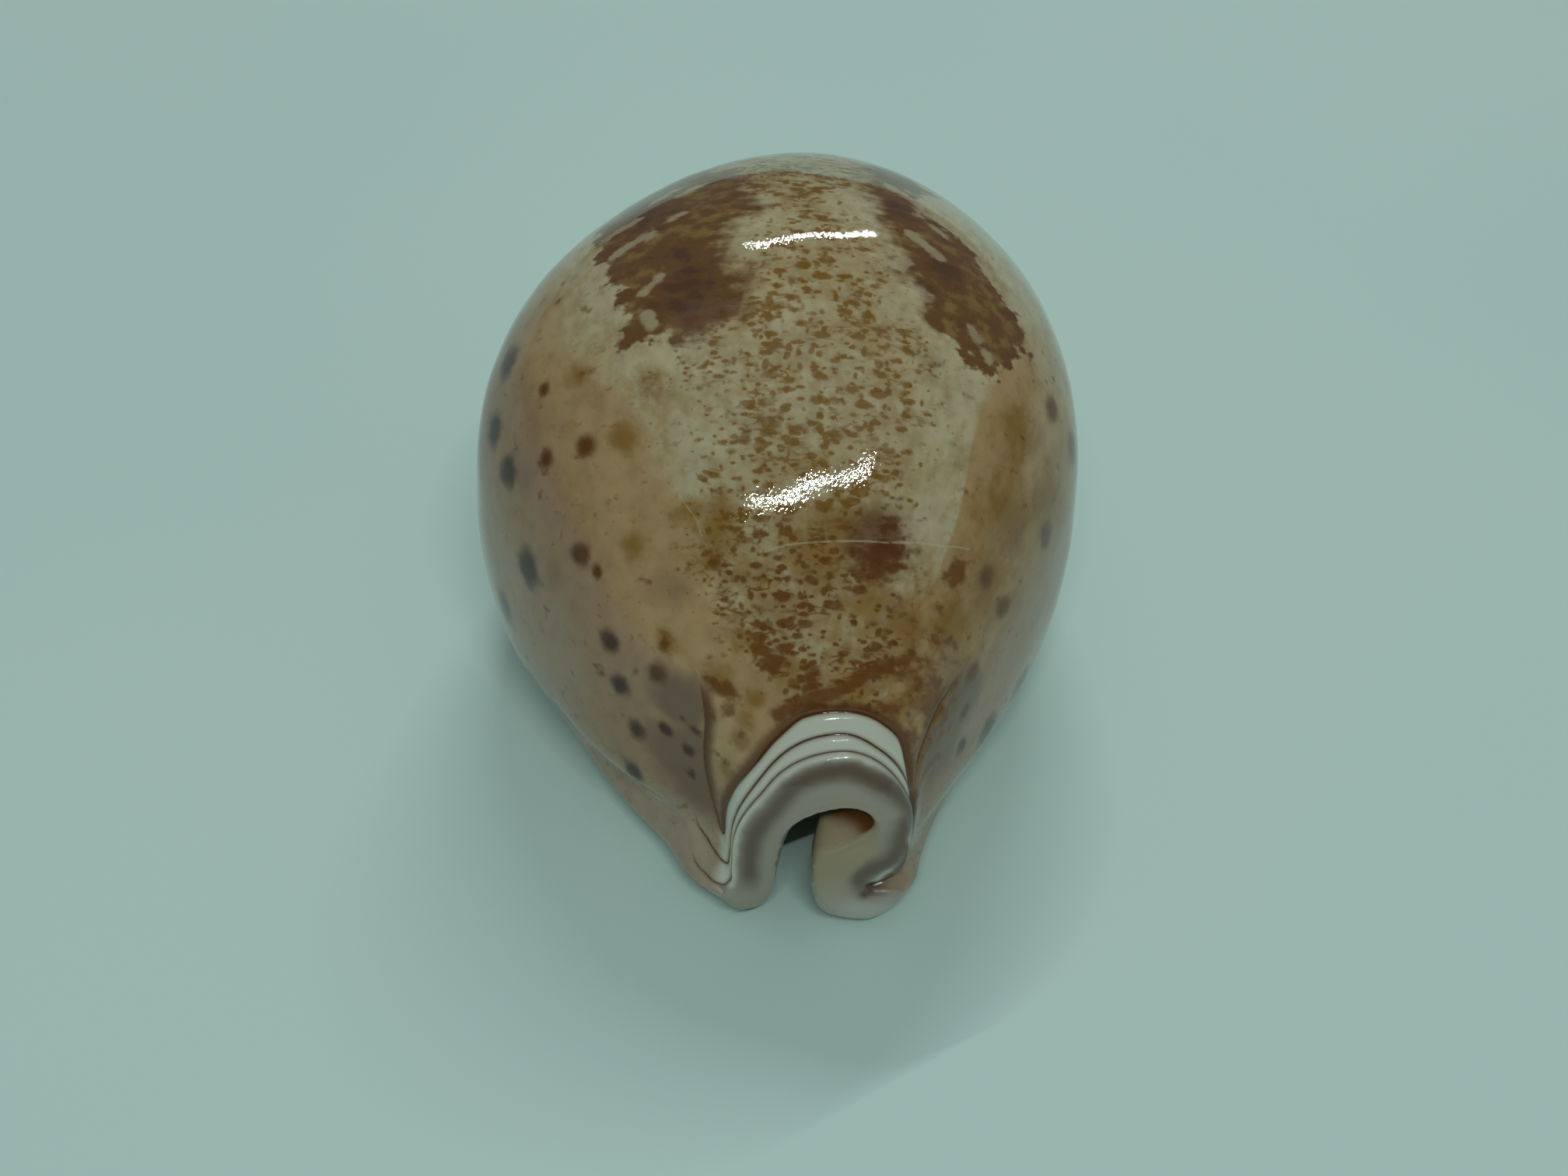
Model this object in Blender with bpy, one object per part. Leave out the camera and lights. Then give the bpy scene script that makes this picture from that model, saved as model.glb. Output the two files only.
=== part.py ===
"""A prince cowrie shell, lying mouth down.

The shell grew as one piece, so it is one closed solid. Its surface is a loft: one loop of
points for each station along the shell. A loop runs from the outer lip over the base, the
left margin, the domed back, the right margin and the other side of the base to the inner lip,
and then back through the hollow. The mouth is the gap between the two lips.

Axes: +Z up through the back, +Y to the blunt hind end, -Y to the narrow front canal,
-X the outer lip's side, +X the inner lip's side. Lengths in the tables are millimetres.
"""
import math

import bmesh
import bpy
import numpy as np

MM = 0.001

# Places along the shell, front to back, for which the tables below give one value each.
STATION = (-38.6, -37.2, -35.5, -34.0, -32.0, -28.0, -22.0, -14.0, -4.0,
           6.0, 16.0, 25.0, 32.0, 35.8, 38.0, 39.3, 40.3)

# The back: how far it reaches left, right and up, where its crown is, how high it is widest.
BACK_LEFT = (-2.6, -3.0, -3.6, -5.4, -8.8, -15.5, -20.7, -26.0, -30.1,
             -29.7, -25.8, -19.2, -12.8, -8.6, -5.4, -3.8, -3.4)
BACK_RIGHT = (13.5, 13.8, 14.0, 14.5, 15.9, 18.5, 22.2, 26.5, 29.9,
              30.1, 28.4, 24.0, 18.8, 15.4, 13.2, 12.2, 12.0)
BACK_TOP = (19.8, 21.5, 23.6, 25.2, 27.1, 31.2, 37.6, 44.1, 48.5,
            49.5, 47.2, 42.8, 36.6, 31.2, 25.0, 18.6, 16.6)
CROWN_X = (6.8, 6.8, 6.6, 6.4, 6.0, 4.9, 3.6, 2.2, 1.1,
           0.8, 1.0, 2.0, 3.0, 3.8, 4.4, 4.7, 4.8)
WIDEST_Z = (10.0, 11.0, 12.5, 12.5, 12.0, 12.3, 14.9, 17.6, 19.4,
            19.8, 18.8, 17.0, 14.8, 12.8, 10.6, 9.0, 8.6)
# Squareness of the back's arcs (2 is an ellipse), and where guide points stand on them (degrees).
BACK_POWER = (2.0, 2.05, 2.1, 2.3, 2.55, 2.65, 2.5, 2.3, 2.2,
              2.15, 2.1, 2.1, 2.1, 2.1, 2.1, 2.1, 2.1)
BACK_ANGLES = (168, 146, 127, 108, 90, 72, 53, 34, 12)

# The margins: the edge of the base and the crease above it, on each side.
EDGE_LEFT_X = (-3.4, -5.3, -6.9, -7.8, -9.0, -12.6, -16.8, -20.8, -23.2,
               -22.8, -19.8, -15.2, -10.2, -7.6, -6.0, -5.0, -4.2)
EDGE_RIGHT_X = (13.2, 14.0, 14.6, 14.8, 15.2, 16.4, 18.9, 22.2, 24.3,
                24.3, 22.0, 18.2, 15.2, 14.2, 13.6, 13.2, 12.8)
EDGE_LEFT_Z = (3.4, 3.2, 3.1, 3.1, 3.1, 3.2, 3.2, 3.3, 3.4,
               3.4, 3.4, 3.4, 3.5, 3.7, 4.0, 4.5, 5.0)
EDGE_RIGHT_Z = (5.4, 4.3, 3.4, 3.2, 3.1, 3.2, 3.2, 3.3, 3.4,
                3.4, 3.4, 3.4, 3.5, 3.7, 4.0, 4.5, 5.0)
CREASE_LEFT_X = (-2.6, -3.5, -4.9, -6.4, -8.2, -11.9, -17.6, -23.6, -26.6,
                 -26.2, -23.0, -17.6, -11.4, -7.8, -5.2, -4.0, -3.6)
CREASE_RIGHT_X = (11.4, 13.1, 14.0, 14.3, 14.9, 16.9, 20.4, 24.4, 27.0,
                  27.1, 25.0, 20.6, 16.0, 13.8, 12.6, 12.2, 12.0)
CREASE_LEFT_Z = (5.0, 6.2, 7.0, 7.2, 7.0, 6.5, 6.2, 6.2, 6.4,
                 6.4, 6.4, 6.2, 6.2, 6.4, 6.6, 6.8, 6.8)
CREASE_RIGHT_Z = (7.1, 7.3, 7.0, 6.6, 6.2, 6.2, 6.2, 6.3, 6.4,
                  6.4, 6.4, 6.2, 6.2, 6.4, 6.6, 6.8, 6.8)

# The base and the mouth: height of the base, and the two lips that the mouth lies between.
BASE_LEFT_Z = (1.7, 1.4, 1.1, 0.9, 0.7, 0.35, 0.0, -0.2, -0.3,
               -0.3, -0.2, 0.1, 0.6, 1.1, 1.6, 2.1, 2.7)
BASE_RIGHT_Z = (1.2, 1.1, 1.0, 0.8, 0.6, 0.3, 0.0, -0.2, -0.3,
                -0.3, -0.2, 0.1, 0.6, 1.1, 1.6, 2.1, 2.7)
OUTER_LIP_X = (1.3, 1.1, 0.8, 0.5, 0.1, -0.8, -1.8, -2.8, -3.2,
               -2.8, -1.6, 0.2, 1.8, 2.6, 2.9, 3.0, 3.0)
INNER_LIP_X = (5.1, 5.2, 5.4, 5.5, 5.5, 5.2, 4.2, 2.8, 2.0,
               2.1, 3.0, 4.6, 6.1, 6.9, 7.3, 7.5, 7.6)

# The hollow: its reach left, right and up, its crown, where it is widest, and the height of
# the shelf that each lip's thickness makes. At the front it narrows to the canal, and
# INNER_SHELF_Z carries the slanting face of the pillar beside the canal.
HOLLOW_LEFT = (1.7, 1.7, 1.4, 0.6, -0.8, -8.0, -17.0, -23.4, -27.0,
               -26.8, -23.4, -17.0, -8.0, -1.6, 1.4, 2.0, 2.2)
HOLLOW_RIGHT = (10.0, 9.6, 8.0, 6.6, 6.6, 11.5, 18.4, 23.6, 26.8,
                27.0, 25.6, 20.8, 14.0, 10.4, 8.8, 8.5, 8.5)
HOLLOW_TOP = (16.7, 16.9, 17.2, 18.2, 20.0, 25.5, 33.6, 41.2, 46.0,
              47.0, 44.7, 39.6, 31.0, 22.0, 15.0, 12.8, 12.4)
HOLLOW_CROWN_X = (7.2, 7.0, 6.0, 4.2, 3.2, 2.2, 1.6, 1.0, 0.6,
                  0.6, 1.0, 2.0, 3.4, 4.6, 5.3, 5.4, 5.4)
HOLLOW_LEFT_Z = (8.0, 8.5, 10.0, 11.0, 12.0, 13.0, 15.0, 17.6, 19.4,
                 19.8, 18.8, 17.0, 14.0, 11.5, 10.0, 9.4, 9.2)
HOLLOW_RIGHT_Z = (14.3, 14.6, 15.0, 14.6, 13.5, 13.5, 15.0, 17.6, 19.4,
                  19.8, 18.8, 17.0, 14.0, 11.5, 10.0, 9.4, 9.2)
OUTER_SHELF_Z = (5.6, 5.6, 5.8, 6.2, 6.4, 6.6, 6.4, 6.0, 5.6,
                 5.6, 5.8, 6.2, 6.6, 7.0, 7.2, 7.4, 7.6)
INNER_SHELF_Z = (11.8, 12.8, 13.4, 12.2, 9.2, 7.2, 6.6, 6.2, 6.0,
                 6.0, 6.0, 6.2, 6.6, 7.0, 7.2, 7.4, 7.6)

# Squareness of the hollow's arcs, and where the guide point on each shelf's arc stands.
HOLLOW_POWER = 2.15
SHELF_ANGLE = 48
SHELF_ROUND = 1.2

# The lips: how far their inner corner stands above the base, and how round their lower edge is.
LIP_CORNER = 2.8
LIP_ROUND = 0.9

# The base between lip and edge: where its flat part starts and ends, as a share of its width up
# to a limit, and how far it rises towards the edge.
FLAT_FROM_LIP = 1.0
FLAT_FROM_LIP_SHARE = 0.35
FLAT_FROM_LIP_LIMIT = 3.2
FLAT_TO_EDGE_SHARE = 0.3
FLAT_TO_EDGE_LIMIT = 4.5
BASE_RISE = 0.22

# How much of the way from the crease to the widest reach the margin's bulge has come.
BULGE_SHARE = 0.78

# Teeth: spacing along the mouth, height, and where each row starts and ends.
TOOTH_PITCH = 2.6
TOOTH_HEIGHT = 0.42
OUTER_TEETH = (-35.6, 33.5)
INNER_TEETH = (-29.0, 33.5)
TOOTH_FADE = 2.6
STATIONS_PER_TOOTH = 3

# Growth ridges round the front canal: where the grooves between them lie, and their height.
RIDGE_GROOVES = (-39.6, -37.0, -36.0, -34.7)
RIDGE_HEIGHT = 0.22

# Rounding of the rims of the two canals.
FRONT_RIM = 1.1
HIND_RIM = 1.3
RIM_STEPS = 3

# Rings between the front rim and the first tooth, and between the last tooth and the hind rim.
FRONT_RINGS = 7
HIND_RINGS = 8

# The loop's guide points, counted from the outer lip. Along the back and the hollow's roof a
# loop has two points to each guide point, and one elsewhere.
GUIDES_PER_LOOP = 32
FIRST_BACK_GUIDE = 7
LAST_BACK_GUIDE = 15
FIRST_ROOF_GUIDE = 24
LAST_ROOF_GUIDE = 30
OUTER_LIP_GUIDES = (-1.0, 2.0)
INNER_LIP_GUIDES = (20.0, 23.0)
RIDGED_GUIDES = (5.0, 17.0)
HUMP_STEEPNESS = 1.6


def clear_scene():
    """Remove whatever the scene holds."""
    for item in list(bpy.data.objects):
        bpy.data.objects.remove(item, do_unlink=True)


def at(table, y):
    """The value of a table at y, on a smooth curve through its stations."""
    xs = np.array(STATION)
    values = np.array(table)
    steps = np.diff(xs)
    slopes = np.diff(values) / steps
    tangents = np.zeros(len(xs))
    tangents[0] = slopes[0]
    tangents[-1] = slopes[-1]
    for i in range(1, len(xs) - 1):
        weighted = slopes[i - 1] * steps[i] + slopes[i] * steps[i - 1]
        tangents[i] = weighted / (steps[i - 1] + steps[i])
    k = int(np.clip(np.searchsorted(xs, y) - 1, 0, len(steps) - 1))
    t = min(max((y - xs[k]) / steps[k], 0.0), 1.0)
    return (values[k] * (2 * t**3 - 3 * t**2 + 1)
            + steps[k] * tangents[k] * (t**3 - 2 * t**2 + t)
            + values[k + 1] * (3 * t**2 - 2 * t**3)
            + steps[k] * tangents[k + 1] * (t**3 - t**2))


def arc_point(centre_x, centre_z, reach_x, reach_z, degrees, power):
    """A point on a superellipse."""
    c = math.cos(math.radians(degrees))
    s = math.sin(math.radians(degrees))
    x = centre_x + reach_x * math.copysign(abs(c) ** (2 / power), c)
    z = centre_z + reach_z * math.copysign(abs(s) ** (2 / power), s)
    return x, z


def base_side(lip_x, edge_x, base_z):
    """Guide points of one side of the base: the lip's corner and edge, and two on the base."""
    out = math.copysign(1.0, edge_x - lip_x)
    width = abs(edge_x - lip_x)
    near_lip = min(FLAT_FROM_LIP_LIMIT, FLAT_FROM_LIP_SHARE * width + FLAT_FROM_LIP)
    near_edge = min(FLAT_TO_EDGE_LIMIT, FLAT_TO_EDGE_SHARE * width)
    return [(lip_x, base_z + LIP_CORNER),
            (lip_x + out * LIP_ROUND, base_z + LIP_ROUND),
            (lip_x + out * near_lip, base_z),
            (edge_x - out * near_edge, base_z + BASE_RISE)]


def margin_side(edge, crease, back_x, widest_z):
    """Guide points of one margin: the edge of the base, the crease and the bulge above it."""
    bulge_x = crease[0] + BULGE_SHARE * (back_x - crease[0])
    bulge = (bulge_x, (crease[1] + widest_z) / 2)
    return [edge, crease, bulge]


def back_points(y):
    """Guide points of the domed back, from the outer lip's side over the crown."""
    left, right = at(BACK_LEFT, y), at(BACK_RIGHT, y)
    crown_x, widest_z = at(CROWN_X, y), at(WIDEST_Z, y)
    height = at(BACK_TOP, y) - widest_z
    points = []
    for degrees in BACK_ANGLES:
        reach = crown_x - left if degrees > 90 else right - crown_x
        points.append(arc_point(crown_x, widest_z, reach, height, degrees, at(BACK_POWER, y)))
    return points


def hollow_points(y):
    """Guide points of the hollow, from the inner lip over its roof to the outer lip."""
    crown_x, roof_z = at(HOLLOW_CROWN_X, y), at(HOLLOW_TOP, y)
    right, right_z = at(HOLLOW_RIGHT, y), at(HOLLOW_RIGHT_Z, y)
    left, left_z = at(HOLLOW_LEFT, y), at(HOLLOW_LEFT_Z, y)
    inner_shelf, outer_shelf = at(INNER_SHELF_Z, y), at(OUTER_SHELF_Z, y)
    inner_lip, outer_lip = at(INNER_LIP_X, y), at(OUTER_LIP_X, y)
    to_right, to_left = right - crown_x, crown_x - left
    return [
        (inner_lip, inner_shelf - SHELF_ROUND),
        arc_point(inner_lip, right_z, right - inner_lip, right_z - inner_shelf,
                  -SHELF_ANGLE, HOLLOW_POWER),
        (right, right_z),
        arc_point(crown_x, right_z, to_right, roof_z - right_z, 45, HOLLOW_POWER),
        (crown_x, roof_z),
        arc_point(crown_x, left_z, to_left, roof_z - left_z, 135, HOLLOW_POWER),
        (left, left_z),
        arc_point(outer_lip, left_z, outer_lip - left, left_z - outer_shelf,
                  180 + SHELF_ANGLE, HOLLOW_POWER),
        (outer_lip, outer_shelf - SHELF_ROUND)]


def guide_points(y):
    """All guide points of the loop at y, as x and z in millimetres."""
    widest_z = at(WIDEST_Z, y)
    left_edge = (at(EDGE_LEFT_X, y), at(EDGE_LEFT_Z, y))
    right_edge = (at(EDGE_RIGHT_X, y), at(EDGE_RIGHT_Z, y))
    left_crease = (at(CREASE_LEFT_X, y), at(CREASE_LEFT_Z, y))
    right_crease = (at(CREASE_RIGHT_X, y), at(CREASE_RIGHT_Z, y))
    left_base = base_side(at(OUTER_LIP_X, y), left_edge[0], at(BASE_LEFT_Z, y))
    right_base = base_side(at(INNER_LIP_X, y), right_edge[0], at(BASE_RIGHT_Z, y))
    left_margin = margin_side(left_edge, left_crease, at(BACK_LEFT, y), widest_z)
    right_margin = margin_side(right_edge, right_crease, at(BACK_RIGHT, y), widest_z)
    points = left_base + left_margin + back_points(y)
    points += right_margin[::-1] + right_base[::-1] + hollow_points(y)
    return np.array(points)


def loop_parameters():
    """Where the loop's points lie, counted in guide points."""
    places = []
    for guide in range(GUIDES_PER_LOOP):
        on_back = FIRST_BACK_GUIDE <= guide < LAST_BACK_GUIDE
        on_roof = FIRST_ROOF_GUIDE <= guide < LAST_ROOF_GUIDE
        steps = 2 if on_back or on_roof else 1
        places += [guide + step / steps for step in range(steps)]
    return np.array(places)


def smooth_loop(guides, places):
    """Points of a smooth closed curve through the guide points."""
    following = np.roll(guides, -1, axis=0)
    gaps = np.sqrt(np.linalg.norm(following - guides, axis=1))[:, None] + 1e-6
    slopes = (following - guides) / gaps
    gaps_before = np.roll(gaps, 1, axis=0)
    slopes_before = np.roll(slopes, 1, axis=0)
    tangents = (slopes_before * gaps + slopes * gaps_before) / (gaps + gaps_before)
    first = places.astype(int)
    second = (first + 1) % len(guides)
    t = (places - first)[:, None]
    gap = gaps[first]
    return (guides[first] * (2 * t**3 - 3 * t**2 + 1)
            + gap * tangents[first] * (t**3 - 2 * t**2 + t)
            + guides[second] * (3 * t**2 - 2 * t**3)
            + gap * tangents[second] * (t**3 - t**2))


def outward(loop):
    """Unit normals of a loop in its own plane, pointing out of the shell's wall."""
    along = np.roll(loop, -1, axis=0) - np.roll(loop, 1, axis=0)
    along /= np.linalg.norm(along, axis=1)[:, None]
    return np.column_stack([-along[:, 1], along[:, 0]])


def hump(places, window):
    """One in the middle of a window of guide points, falling smoothly to nought at its ends."""
    middle = (window[0] + window[1]) / 2
    half = (window[1] - window[0]) / 2
    half_loop = GUIDES_PER_LOOP / 2
    away = np.abs((places - middle + half_loop) % GUIDES_PER_LOOP - half_loop)
    return np.clip(HUMP_STEEPNESS * (1 - (away / half) ** 2), 0, 1)


def tooth_wave(y, row, shift):
    """Height of a row of teeth at y."""
    fade = min((y - row[0]) / TOOTH_FADE, (row[1] - y) / TOOTH_FADE, 1.0)
    wave = math.cos(2 * math.pi * (y - OUTER_TEETH[0]) / TOOTH_PITCH + shift)
    return TOOTH_HEIGHT * max(fade, 0.0) * wave


def ridge_wave(y):
    """Height of the growth ridges round the front canal at y: round between its grooves."""
    for start, end in zip(RIDGE_GROOVES, RIDGE_GROOVES[1:]):
        if start <= y <= end:
            return RIDGE_HEIGHT * (1 - (2 * (y - start) / (end - start) - 1) ** 2)
    return 0.0


def ring(y):
    """The loop at y, with its teeth and growth ridges, resting on the ground plane."""
    places = loop_parameters()
    loop = smooth_loop(guide_points(y), places)
    lift = hump(places, OUTER_LIP_GUIDES) * tooth_wave(y, OUTER_TEETH, 0.0)
    lift += hump(places, INNER_LIP_GUIDES) * tooth_wave(y, INNER_TEETH, math.pi)
    lift += hump(places, RIDGED_GUIDES) * ridge_wave(y)
    loop = loop + outward(loop) * lift[:, None]
    loop[:, 1] = np.maximum(loop[:, 1], 0.0)
    return np.column_stack([loop[:, 0], np.full(len(loop), y), loop[:, 1]])


def rim_rings(last, direction, radius):
    """Rings that round the wall off past an end ring, from that ring outwards."""
    normals = outward(last[:, [0, 2]])
    rings = []
    for step in range(1, RIM_STEPS + 1):
        angle = math.pi / 2 * step / RIM_STEPS
        inset = radius * (1 - math.cos(angle))
        moved = last.copy()
        moved[:, [0, 2]] -= normals * inset
        moved[:, 1] += direction * radius * math.sin(angle)
        rings.append(moved)
    return rings


def stations():
    """The y of every ring: close on the ridges, a few to each tooth, close at the hind end."""
    tooth_step = TOOTH_PITCH / STATIONS_PER_TOOTH
    front = np.linspace(STATION[0], OUTER_TEETH[0], FRONT_RINGS + 1)[:-1]
    teeth = np.arange(OUTER_TEETH[0], OUTER_TEETH[1] + tooth_step, tooth_step)
    hind = np.linspace(teeth[-1], STATION[-1], HIND_RINGS + 1)[1:]
    return np.concatenate([front, teeth, hind])


def shell_rings():
    """All rings, front to back, in millimetres."""
    rings = [ring(y) for y in stations()]
    front = rim_rings(rings[0], -1, FRONT_RIM)
    hind = rim_rings(rings[-1], 1, HIND_RIM)
    return front[::-1] + rings + hind


def lofted_mesh(rings):
    """A closed mesh through the rings, with a flat face across each end's rim."""
    bm = bmesh.new()
    rows = [[bm.verts.new(point) for point in row] for row in rings]
    for row, following in zip(rows, rows[1:]):
        for i in range(len(row)):
            j = (i + 1) % len(row)
            bm.faces.new((row[i], row[j], following[j], following[i]))
    bm.faces.new(rows[0])
    bm.faces.new(rows[-1])
    bmesh.ops.recalc_face_normals(bm, faces=bm.faces)
    bmesh.ops.triangulate(bm, faces=bm.faces, quad_method="SHORT_EDGE", ngon_method="EAR_CLIP")
    mesh = bpy.data.meshes.new("cowrie_shell")
    bm.to_mesh(mesh)
    bm.free()
    return mesh


def shell_material():
    """Polished cream shell."""
    material = bpy.data.materials.new("polished_shell")
    material.use_nodes = True
    shader = material.node_tree.nodes["Principled BSDF"]
    shader.inputs["Base Color"].default_value = (0.56, 0.42, 0.26, 1.0)
    shader.inputs["Roughness"].default_value = 0.18
    shader.inputs["Metallic"].default_value = 0.0
    return material


def centred(rings):
    """The rings in metres, with the origin at the bottom centre of their box."""
    points = np.array(rings)
    low = points.min(axis=(0, 1))
    high = points.max(axis=(0, 1))
    middle = (low + high) / 2
    middle[2] = low[2]
    return (points - middle) * MM


def main():
    clear_scene()
    mesh = lofted_mesh(centred(shell_rings()))
    mesh.shade_smooth()
    mesh.materials.append(shell_material())
    shell = bpy.data.objects.new("cowrie_shell", mesh)
    collection = bpy.data.collections.new("prince_cowrie")
    bpy.context.scene.collection.children.link(collection)
    collection.objects.link(shell)


main()
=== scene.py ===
"""The looks of a prince cowrie shell lying mouth down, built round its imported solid.

The shell is one mesh: a fine loft with the solid's outlines, on which the growth ridges of the
front canal, the teeth of the mouth and the glaze's edges stand in relief. Its markings are
painted by nodes from smooth fields stored on the mesh, such as how far a point lies from a spot.

Axes as in the solid: +Z up, +Y to the blunt hind end, -Y to the narrow front canal, -X the outer
lip's side. The tables below are in millimetres, y counted as in the solid's own tables.
"""
import math

import bpy
import numpy as np
from mathutils import Matrix, Vector
from mathutils.geometry import delaunay_2d_cdt


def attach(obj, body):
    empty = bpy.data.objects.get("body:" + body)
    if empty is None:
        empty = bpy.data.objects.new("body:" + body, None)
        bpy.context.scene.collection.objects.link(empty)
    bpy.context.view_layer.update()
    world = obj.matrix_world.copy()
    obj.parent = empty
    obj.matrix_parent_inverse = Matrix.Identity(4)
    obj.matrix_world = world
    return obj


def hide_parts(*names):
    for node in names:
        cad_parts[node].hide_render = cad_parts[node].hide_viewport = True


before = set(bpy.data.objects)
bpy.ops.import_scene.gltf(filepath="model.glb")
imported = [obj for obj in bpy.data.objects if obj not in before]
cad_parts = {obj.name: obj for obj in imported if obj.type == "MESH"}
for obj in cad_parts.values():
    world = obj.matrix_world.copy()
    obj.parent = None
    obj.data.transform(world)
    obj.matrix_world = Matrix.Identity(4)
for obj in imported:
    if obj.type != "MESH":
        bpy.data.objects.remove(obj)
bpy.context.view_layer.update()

MM = 0.001

# Places along the shell, front to back, for which the tables below give one value each.
STATION = (-38.6, -37.2, -35.5, -34.0, -32.0, -28.0, -22.0, -14.0, -4.0,
           6.0, 16.0, 25.0, 32.0, 35.8, 38.0, 39.3, 40.3)

# The back: how far it reaches left, right and up, where its crown is, how high it is widest.
BACK_LEFT = (-2.6, -3.0, -3.6, -5.4, -8.8, -15.5, -20.7, -26.0, -30.1,
             -29.7, -25.8, -19.2, -12.8, -8.6, -5.4, -3.8, -3.4)
BACK_RIGHT = (13.5, 13.8, 14.0, 14.5, 15.9, 18.5, 22.2, 26.5, 29.9,
              30.1, 28.4, 24.0, 18.8, 15.4, 13.2, 12.2, 12.0)
BACK_TOP = (19.8, 21.5, 23.6, 25.2, 27.1, 31.2, 37.6, 44.1, 48.5,
            49.5, 47.2, 42.8, 36.6, 31.2, 25.0, 18.6, 16.6)
CROWN_X = (6.8, 6.8, 6.6, 6.4, 6.0, 4.9, 3.6, 2.2, 1.1,
           0.8, 1.0, 2.0, 3.0, 3.8, 4.4, 4.7, 4.8)
WIDEST_Z = (10.0, 11.0, 12.5, 12.5, 12.0, 12.3, 14.9, 17.6, 19.4,
            19.8, 18.8, 17.0, 14.8, 12.8, 10.6, 9.0, 8.6)
# Squareness of the back's arcs (2 is an ellipse), and where guide points stand on them (degrees).
BACK_POWER = (2.0, 2.05, 2.1, 2.3, 2.55, 2.65, 2.5, 2.3, 2.2,
              2.15, 2.1, 2.1, 2.1, 2.1, 2.1, 2.1, 2.1)
BACK_ANGLES = (168, 146, 127, 108, 90, 72, 53, 34, 12)

# The margins: the edge of the base and the crease above it, on each side.
EDGE_LEFT_X = (-3.4, -5.3, -6.9, -7.8, -9.0, -12.6, -16.8, -20.8, -23.2,
               -22.8, -19.8, -15.2, -10.2, -7.6, -6.0, -5.0, -4.2)
EDGE_RIGHT_X = (13.2, 14.0, 14.6, 14.8, 15.2, 16.4, 18.9, 22.2, 24.3,
                24.3, 22.0, 18.2, 15.2, 14.2, 13.6, 13.2, 12.8)
EDGE_LEFT_Z = (3.4, 3.2, 3.1, 3.1, 3.1, 3.2, 3.2, 3.3, 3.4,
               3.4, 3.4, 3.4, 3.5, 3.7, 4.0, 4.5, 5.0)
EDGE_RIGHT_Z = (4.9, 4.2, 3.4, 3.2, 3.1, 3.2, 3.2, 3.3, 3.4,
                3.4, 3.4, 3.4, 3.5, 3.7, 4.0, 4.5, 5.0)
CREASE_LEFT_X = (-2.6, -3.5, -4.9, -6.4, -8.2, -11.9, -17.6, -23.6, -26.6,
                 -26.2, -23.0, -17.6, -11.4, -7.8, -5.2, -4.0, -3.6)
CREASE_RIGHT_X = (10.2, 11.9, 13.7, 14.3, 14.9, 16.9, 20.4, 24.4, 27.0,
                  27.1, 25.0, 20.6, 16.0, 13.8, 12.6, 12.2, 12.0)
CREASE_LEFT_Z = (5.0, 6.2, 7.0, 7.2, 7.0, 6.5, 6.2, 6.2, 6.4,
                 6.4, 6.4, 6.2, 6.2, 6.4, 6.6, 6.8, 6.8)
CREASE_RIGHT_Z = (5.7, 6.6, 6.8, 6.6, 6.2, 6.2, 6.2, 6.3, 6.4,
                  6.4, 6.4, 6.2, 6.2, 6.4, 6.6, 6.8, 6.8)

# The base and the mouth: height of the base, and the two lips that the mouth lies between.
BASE_LEFT_Z = (1.7, 1.4, 1.1, 0.9, 0.7, 0.35, 0.0, -0.2, -0.3,
               -0.3, -0.2, 0.1, 0.6, 1.1, 1.6, 2.1, 2.7)
BASE_RIGHT_Z = (1.2, 1.1, 1.0, 0.8, 0.6, 0.3, 0.0, -0.2, -0.3,
                -0.3, -0.2, 0.1, 0.6, 1.1, 1.6, 2.1, 2.7)
OUTER_LIP_X = (1.3, 1.1, 0.8, 0.5, 0.1, -0.8, -1.8, -2.8, -3.2,
               -2.8, -1.6, 0.2, 1.8, 2.6, 2.9, 3.0, 3.0)
INNER_LIP_X = (5.1, 5.2, 5.4, 5.5, 5.5, 5.2, 4.2, 2.8, 2.0,
               2.1, 3.0, 4.6, 6.1, 6.9, 7.3, 7.5, 7.6)

# The hollow: its reach left, right and up, its crown, where it is widest, and the height of
# the shelf that each lip's thickness makes.
HOLLOW_LEFT = (1.7, 1.7, 1.4, 0.6, -0.8, -8.0, -17.0, -23.4, -27.0,
               -26.8, -23.4, -17.0, -8.0, -1.6, 1.4, 2.0, 2.2)
HOLLOW_RIGHT = (10.0, 9.6, 8.0, 6.6, 6.6, 11.5, 18.4, 23.6, 26.8,
                27.0, 25.6, 20.8, 14.0, 10.4, 8.8, 8.5, 8.5)
HOLLOW_TOP = (16.7, 16.9, 17.2, 18.2, 20.0, 25.5, 33.6, 41.2, 46.0,
              47.0, 44.7, 39.6, 31.0, 22.0, 15.0, 12.8, 12.4)
HOLLOW_CROWN_X = (7.2, 7.0, 6.0, 4.2, 3.2, 2.2, 1.6, 1.0, 0.6,
                  0.6, 1.0, 2.0, 3.4, 4.6, 5.3, 5.4, 5.4)
HOLLOW_LEFT_Z = (8.0, 8.5, 10.0, 11.0, 12.0, 13.0, 15.0, 17.6, 19.4,
                 19.8, 18.8, 17.0, 14.0, 11.5, 10.0, 9.4, 9.2)
HOLLOW_RIGHT_Z = (14.3, 14.6, 15.0, 14.6, 13.5, 13.5, 15.0, 17.6, 19.4,
                  19.8, 18.8, 17.0, 14.0, 11.5, 10.0, 9.4, 9.2)
OUTER_SHELF_Z = (5.6, 5.6, 5.8, 6.2, 6.4, 6.6, 6.4, 6.0, 5.6,
                 5.6, 5.8, 6.2, 6.6, 7.0, 7.2, 7.4, 7.6)
INNER_SHELF_Z = (11.8, 12.8, 13.4, 12.2, 9.2, 7.2, 6.6, 6.2, 6.0,
                 6.0, 6.0, 6.2, 6.6, 7.0, 7.2, 7.4, 7.6)
HOLLOW_POWER = 2.15
SHELF_ANGLE = 48
SHELF_ROUND = 1.2
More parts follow.
